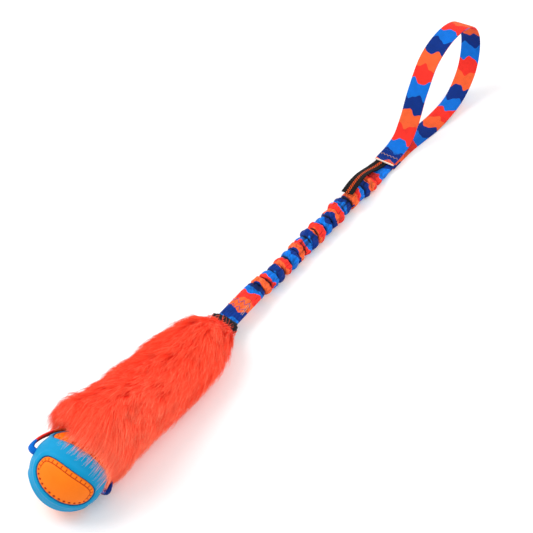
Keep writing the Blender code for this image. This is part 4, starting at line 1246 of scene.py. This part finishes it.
LINING_OUT, LINING_IN, HEM = 6.25, 7.6, 0.45        # depths, and what the folded hem adds
lining_at = np.linspace(MOUTH + 0.2, 190.0, 77)
hem = HEM * ease((44 - lining_at) / 2) * ease((lining_at - 33) / 2)
folds = 0.18 * np.sin(9 * sleeve_angles + 0.05 * lining_at[:, None]) * ease((lining_at - 40) / 30)[:, None]
thick_wall = 1.5 * ease((section_at(lining_at, 3) - 6) / 2)[:, None]
black_lining = knit_material("black sleeve lining", srgb(12, 12, 14), srgb(44, 44, 48), 0.0012, 0.85)
lining = sleeve_tube("sleeve_lining_cloth", lining_at, LINING_OUT, LINING_IN + hem, folds + thick_wall,
                     black_lining)
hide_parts("sleeve_lining")
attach(lining, "sleeve")
print("lining faces:", len(lining.data.polygons))

# %% [markdown]
# The strap inside the sleeve carries the pull. It stands on edge where it takes over from the
# ball's strap, and turns flat towards the neck.

# %% Core strap
CORE_LINE = ((50, 0, 32.9), (75, 0, 31.6), (100, 0, 30), (125, 0, 26.6), (150, 0, 23), (170, 0, 20.9),
             (187, 0, 19.5), (203, 0, 16), (209, 0, 15), (225.5, 0, 15))
CORE_STRAP_THIN = 1.6
core_line = smooth_route(CORE_LINE, 1.5)
heading = unit(np.gradient(core_line, axis=0))
on_edge = (math.pi / 2) * (1 - ease((core_line[:, 0] - 60) / 115))[:, None]
level_across = np.tile((0, 1.0, 0), (len(core_line), 1))
across = level_across * np.cos(on_edge) + np.cross(level_across, heading) * np.sin(on_edge)
black_web = plain_weave("black core webbing", (0.02, 0.02, 0.023), 0.7, (0.001, 0.0012), 0.0003)
face = np.cross(across, heading)
core_strap = sweep("core_strap_webbing", core_line, across, face, WEB_HALF, CORE_STRAP_THIN, black_web)
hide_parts("core_strap")
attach(core_strap, "sleeve")
print("core strap is", round(float(walked(core_line)[-1])), "mm long")

# %% [markdown]
# The collar is knit drawn together round the strap. Drawn-in cloth folds into pleats that are
# deep at the gathered edge and open out in the flare, and the folded edge is soft and round.

# %% Gathered collar
CUFF_START, COLLAR_POINTS, COLLAR_GIRTH = 207.5, 168, 66
# Station, half width, half height and depth of the pleats, out along the collar and back inside
COLLAR_LINE = (
    (CUFF_START, 12.2, 6.9, 0.1), (210.5, 12.4, 7.1, 0.35), (213.5, 12.7, 7.4, 0.55), (216.0, 13.1, 7.9, 0.7),
    (218.5, 13.6, 8.3, 0.8), (220.5, 13.8, 8.45, 0.8), (221.7, 13.4, 8.0, 0.6), (222.0, 12.7, 7.0, 0.3),
    (221.6, 12.2, 5.2, 0.2), (220.0, 12.05, 3.4, 0.1), (216.0, 12.02, 2.5, 0.0), (CUFF_START, 12.0, 2.4, 0.0))
angle = math.tau * np.arange(COLLAR_POINTS) / COLLAR_POINTS
pleats = (0.5 * np.sin(13 * angle + 0.4 * np.sin(3 * angle)) + 0.3 * np.sin(21 * angle + 1.1)
          + 0.2 * np.sin(34 * angle))
shape = oval(COLLAR_POINTS, 2.3)
x, wide, high, depth = (column[:, None] for column in smooth_route(COLLAR_LINE, 0.8).T)
grow = depth * pleats
rings = np.stack((x + 0.35 * depth * np.sin(5 * angle), shape[:, 0] * (wide + grow),
                  np.maximum(NECK_HEIGHT + shape[:, 1] * (high + grow), 0.3)), -1)
rows = len(rings)
round_it = np.tile(np.arange(COLLAR_POINTS) * COLLAR_GIRTH / COLLAR_POINTS, rows)
collar_uv = np.stack((np.repeat(walked(rings[:, 0]), COLLAR_POINTS), round_it), -1)
collar_knit = knit_material("black collar knit", srgb(10, 10, 12), srgb(52, 52, 58), 0.0009, 0.8)
faces = [ring_faces(rows, COLLAR_POINTS, close=True)]
collar = new_piece("gathered_collar", rings.reshape(-1, 3), faces, collar_uv, collar_knit)
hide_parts("neck_cuff")
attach(collar, "sleeve")
print("collar rings:", rows)

# %% [markdown]
# ## Faux fur
# Long pile lies in locks: neighbouring hairs lean together to one tip. So the hairs are made lock
# by lock, with the roots spread over the backing cloth and the tips drawn together. The pile is
# brushed towards the ball, and it parts along the top and falls to both sides. What hangs over
# the mouth lies on the ball. A hair is a three-sided blade that tapers to nothing, and numpy
# makes them all at once.

# %% Lie of the pile
HAIR_DEPTH = 4.6                                    # of the backing cloth under the sleeve's surface
LOCKS, RIM_LOCKS, HAIRS = 5000, 460, 11             # before thinning, and hairs in each lock
LEAST_LENGTH = 8
draw = np.random.default_rng(5)
waves = draw.uniform(0, math.tau, (7, 3))


def wandering(u, a, scale):
    """A smooth random value from about -1 to 1 over the sleeve."""
    total = 0
    for n, (p, q, r) in enumerate(waves):
        along = u * (0.016 + 0.011 * n) * scale + p + 1.7 * np.sin(a * (1 + n % 3) + q)
        total = total + np.sin(along) * np.cos(a * (1 + n % 4) + r)
    return total / 2.6


def hair_heading(u, a):
    """The angle by which hair leans round the sleeve. It falls away from the top on both sides."""
    side = np.cos(a)                                # 1 at the left side, -1 at the right
    part = -side * np.where(side < 0, 0.55, 0.45)
    fan = 1 + 0.5 * ease((70 - u) / 40) - 0.5 * ease((u - 170) / 40)
    top = ease((np.sin(a) + 0.3) / 0.6)
    return part * fan * top + 0.30 * wandering(u, a, 1.6) + 0.12 * wandering(u + 40, a * 2, 5.0)


lock_u = MOUTH + 1.0 + (NECK - 1.5 - MOUTH) * draw.uniform(0, 1, LOCKS)
lock_a = draw.uniform(0, math.tau, LOCKS)
# More locks grow from the rim of the mouth, and those on its top and right side are the longest
lock_u = np.concatenate((lock_u, MOUTH + draw.uniform(0.5, 9, RIM_LOCKS)))
lock_a = np.concatenate((lock_a, np.radians(draw.uniform(20, 205, RIM_LOCKS))))
girth_at = np.interp(lock_u, sleeve_route[:, 0], (sleeve_route[:, 1] + sleeve_route[:, 2]) / 2)
# Fewer grow where the sleeve is narrow, and where it rests on the floor
chance = girth_at / 36 * mix(0.62, 1.0, ease((np.sin(lock_a) + 0.75) / 0.5))
keep = draw.uniform(0, 1, len(lock_u)) < np.clip(chance, 0, 1)
lock_u, lock_a, girth_at = lock_u[keep], lock_a[keep], girth_at[keep]
count = len(lock_u)
lock_length = draw.uniform(13, 27, count) * mix(1.0, 0.72, ease((lock_u - 180) / 30))
round_at = np.degrees(lock_a)                       # 0 at the left side, 90 on top, 180 at the right
over_ball = ease((round_at - 60) / 36) * (1 - ease((round_at - 190) / 14)) * ease((64 - lock_u) / 24)
beside = (1 - ease((round_at - 60) / 36)) * ease((round_at + 10) / 20) * ease((58 - lock_u) / 20)
length_over = lock_u - draw.uniform(2, 11, count)
lock_length = mix(lock_length, np.clip(length_over, LEAST_LENGTH, 36), over_ball)
length_beside = lock_u - draw.uniform(14, 21, count) + 6 * ease((round_at - 45) / 25)
lock_length = mix(lock_length, np.clip(length_beside, LEAST_LENGTH, 34), beside)
lock_lean = hair_heading(lock_u, lock_a)
lock_lift = draw.uniform(2.6, 6.4, count) + 1.5 * wandering(lock_u, lock_a, 2.4)
lock_lift = lock_lift + 3.2 * draw.uniform(0, 1, count) ** 8
lock_tone = draw.uniform(0, 1, count)
# Some locks of the rim's left side stand off the sleeve in short spikes
spike = (round_at > 2) & (round_at < 74) & (lock_u < 56) & (draw.uniform(0, 1, count) < 0.45)
lock_length[spike] = draw.uniform(15, 23, int(spike.sum()))
lock_lift[spike] = draw.uniform(7.0, 11.5, int(spike.sum()))
lock_lean[spike] *= 0.4
beside[spike] = 0
print("locks:", count, "of which stand off:", int(spike.sum()))

# %% [markdown]
# A hair's path has five points. It rises from the backing cloth, sinks back, and closes with its
# lock towards the tip. What hangs beyond the mouth droops onto the ball and stays just off it.
# Long pale wisps over the ball and short strays over the collar are paths of the same kind.

# %% Hair paths
HAIR_CLEARANCE, WISP_CLEARANCE = 34.0, 34.6         # from the ball's middle
DROOP, DROOP_BESIDE, WISP_DROOP, DROOP_HEIGHT = 0.00034, 0.00006, 0.00031, 36
WISPS, STRAYS, PARTS = 230, 260, 5
t = np.linspace(0, 1, PARTS)[None, :]


def arch(share):
    """How high a hair stands off along its length, as the first part of a sine."""
    return np.sin(np.pi * np.minimum(share, 1))


def droop_on_ball(paths, droop, clearance):
    """Draws in what hangs beyond the mouth, and moves what would lie in the ball out of it."""
    pull = 1 - droop * np.maximum(MOUTH - paths[:, :, 0], 0) ** 2
    paths[:, :, 1] *= pull
    paths[:, :, 2] = DROOP_HEIGHT + (paths[:, :, 2] - DROOP_HEIGHT) * pull
    arm = paths - BALL_MIDDLE
    far = np.linalg.norm(arm, axis=2, keepdims=True)
    return np.where(far < clearance, arm * (clearance / np.maximum(far, 1e-6)) + BALL_MIDDLE, paths)


total = count * HAIRS
lock = np.repeat(np.arange(count), HAIRS)
spread = draw.normal(0, 1, (total, 2)) * (1.9, 1.5)
root_u = np.clip(lock_u[lock] + spread[:, 0], MOUTH + 0.4, NECK - 1.0)
root_a = lock_a[lock] + spread[:, 1] / girth_at[lock]
length = (lock_length[lock] * draw.uniform(0.72, 1.12, total))[:, None]
lean = (lock_lean[lock] + draw.normal(0, 0.12, total))[:, None]
apart = 1 - 0.82 * t ** 1.2                         # hairs of one lock close towards their tips
middle_u, middle_a = lock_u[lock][:, None], lock_a[lock][:, None]
u = middle_u + (root_u[:, None] - middle_u) * apart - length * np.cos(lean) * t
a = middle_a + (root_a[:, None] - middle_a) * apart
a = a + length * np.sin(lean) * t ** 1.25 / np.maximum(girth_at[lock], 12)[:, None]
lift = (lock_lift[lock] * draw.uniform(0.55, 1.1, total))[:, None]
height = -HAIR_DEPTH + lift * arch(t * 0.62 + 0.02) + draw.normal(0, 0.25, (total, 1)) * t
height = height + draw.uniform(0, 2.2, (total, 1)) * t ** 2
curl = draw.normal(0, 0.35, (total, 2))
u = u + curl[:, :1] * np.sin(3.0 * t + 6 * curl[:, 1:])
droop = (DROOP * over_ball - DROOP_BESIDE * beside)[lock][:, None]
hairs = droop_on_ball(sleeve_point(u, a, -height), droop, HAIR_CLEARANCE)

wisp_a = np.radians(draw.uniform(80, 192, WISPS))
wisp_u = draw.uniform(MOUTH + 1, MOUTH + 8, WISPS)
wisp_far = draw.uniform(-4, 9, WISPS)
along = mix(wisp_u[:, None], wisp_far[:, None], t)
swing = wisp_a[:, None] + draw.normal(0.05, 0.13, (WISPS, 1)) * t
wisps = droop_on_ball(sleeve_point(along, swing, 3.2 - 3.4 * arch(t * 0.6)), WISP_DROOP, WISP_CLEARANCE)

stray_a = draw.uniform(0, math.tau, STRAYS)
stray_u = draw.uniform(203, NECK - 0.5, STRAYS)
stray_reach = draw.uniform(2, 8, STRAYS)
along = stray_u[:, None] + stray_reach[:, None] * t
swing = stray_a[:, None] + draw.normal(0, 0.16, (STRAYS, 1)) * t
strays = sleeve_point(along, swing, 1.4 - (1.3 + draw.uniform(0, 2.2, (STRAYS, 1))) * arch(t * 0.7))

hairs = np.concatenate((hairs, wisps, strays))
total += WISPS + STRAYS
lock = np.concatenate((lock, draw.integers(0, count, WISPS + STRAYS)))
hairs[:, :, 2] = np.maximum(hairs[:, :, 2], 0.35)
print("hairs:", total, "reach to station", round(float(hairs[:, :, 0].min()), 1))

# %% [markdown]
# Each path becomes a closed blade with three sides, thickest a little past its root. How far
# along a point lies, and the tones of its lock and its hair, are stored as a colour. So the
# material can run from a root darkened by painted shade to a pale tip. A few guard hairs are coarser and
# paler.

# %% Hair blades
SIDES = 3
GUARD_SHARE, GUARD_WIDTH = 0.13, 1.45
PER_PIECE = 7400


def blade_mesh(name, hairs, tone, radius, material):
    """Closed three-sided blades along many paths, with their tones stored as a colour."""
    count, parts = hairs.shape[:2]
    heading = unit(np.gradient(hairs, axis=1))
    out = hairs - np.array((0, 0, 20.0))
    out[:, :, 0] = 0
    side = unit(np.cross(heading, out))
    up = np.cross(side, heading)
    t = np.linspace(0, 1, parts)
    taper = (radius[:, None] * (0.75 + 0.6 * t - 1.25 * t ** 2.2))[:, :, None]
    corners = [side * taper * 1.25, (-0.5 * side + 0.6 * up) * taper, (-0.5 * side - 0.6 * up) * taper]
    points = np.stack([hairs + c for c in corners], 2).reshape(-1, 3)
    points[:, 2] = np.maximum(points[:, 2], 0.05)
    first = (np.arange(count) * parts * SIDES)[:, None]
    quads = (ring_faces(parts, SIDES) + first[:, :, None]).reshape(-1, 4)
    caps = np.concatenate((first + (2, 1, 0), first + (parts - 1) * SIDES + (0, 1, 2)))
    piece = new_piece(name, points, [quads, caps], None, material)
    colours = np.empty((count, parts, SIDES, 4), np.float32)
    colours[..., 0] = t[None, :, None]
    colours[..., 1:] = tone[:, None, None, :]
    layer = piece.data.color_attributes.new("hair", "FLOAT_COLOR", "POINT")
    layer.data.foreach_set("color", colours.ravel())
    return piece


def fur_material(name, root, middle, tip):
    """Colour from a root with painted shade to a paler tip, with locks and single hairs a little lighter or
    darker.
    """
    material, tree, shader = new_material(name, 0.55, gloss=0.25)
    stored = add_node(tree, "ShaderNodeVertexColor", layer_name="hair")
    parts = add_node(tree, "ShaderNodeSeparateColor", {0: stored.outputs["Color"]}).outputs
    along, lock_tone, hair_tone, pale_tip_share = parts[0], parts[1], parts[2], stored.outputs["Alpha"]
    low = blend_colours(tree, calculate(tree, "MULTIPLY", along, 2.0), root, middle)
    # Tips turn paler with the stored share, which is painted highlight at the right of the mouth and paleness
    # of the guard hairs
    paler = calculate(tree, "MULTIPLY_ADD", pale_tip_share, 0.6, calculate(tree, "MULTIPLY", hair_tone, 0.6))
    share = calculate(tree, "MULTIPLY", calculate(tree, "POWER", along, 1.5), paler)
    full = blend_colours(tree, share, low, tip)
    value = calculate(tree, "MULTIPLY_ADD", hair_tone, 0.3, 0.66)
    value = calculate(tree, "MULTIPLY_ADD", lock_tone, 0.34, value)
    toned = add_node(tree, "ShaderNodeHueSaturation", {"Color": full, "Value": value}).outputs["Color"]
    tree.links.new(toned, shader.inputs["Base Color"])
    tree.links.new(toned, shader.inputs["Emission Color"])
    shader.inputs["Emission Strength"].default_value = 0.2      # painted glow: the hairs give off light of their own
    return material


fur = fur_material("orange faux fur", srgb(228, 20, 12), srgb(255, 70, 34), srgb(255, 146, 112))
# Painted highlight: the pile's tips at the right of the mouth are made paler
pale_tip_share = ease((-np.cos(lock_a) + 0.1) / 0.9) * ease((150 - lock_u) / 90) * draw.uniform(0.3, 1, count)
tone = np.stack((lock_tone[lock], draw.uniform(0, 1, total), pale_tip_share[lock]), -1)
# The wisps are the lightest hairs, with the full painted highlight on their tips
tone[-WISPS - STRAYS:-STRAYS] = (0.9, 1.0, 1.0)
radius = draw.uniform(0.12, 0.24, total)
guard = draw.uniform(0, 1, total) < GUARD_SHARE
radius[guard] *= GUARD_WIDTH
tone[guard, 2] = np.maximum(tone[guard, 2], draw.uniform(0.3, 0.9, int(guard.sum())))
for number, start in enumerate(range(0, total, PER_PIECE), 1):
    part = slice(start, start + PER_PIECE)
    piece = blade_mesh(f"fur_pile_{number}", hairs[part], tone[part], radius[part], fur)
    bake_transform(piece)
print("fur pieces:", number, "faces in one:", len(piece.data.polygons))

# %% [markdown]
# The hairs grow from a backing cloth that lies just inside the sleeve's surface. It has a short
# nap of its own in the same orange, so no gap between locks shows bare cloth, and a painted glow
# keeps the shade between the locks red.

# %% Backing cloth of the fur
nap_cloth, tree, shader = new_material("fur backing", 0.85)
nap = use_group(tree, speckle, Place=surface_map(tree), Size=0.0012)["Height"]
cover(tree, shader, blend_colours(tree, nap, srgb(196, 26, 14), srgb(240, 54, 28)), nap, 0.9, 0.0015)
# Painted glow: the backing gives off light of its own
shader.inputs["Emission Color"].default_value = (*srgb(230, 44, 24), 1)
shader.inputs["Emission Strength"].default_value = 0.2
backing_at = np.linspace(MOUTH, NECK, 90)
wall_at = section_at(backing_at, 3)
ripple = 0.12 * np.sin(7 * sleeve_angles + 0.11 * backing_at[:, None])
backing = sleeve_tube("fur_backing_cloth", backing_at, np.minimum(HAIR_DEPTH, wall_at - 0.9),
                      wall_at - 0.05, ripple, nap_cloth)
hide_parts("fur_sleeve")
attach(backing, "sleeve")
print("backing faces:", len(backing.data.polygons))
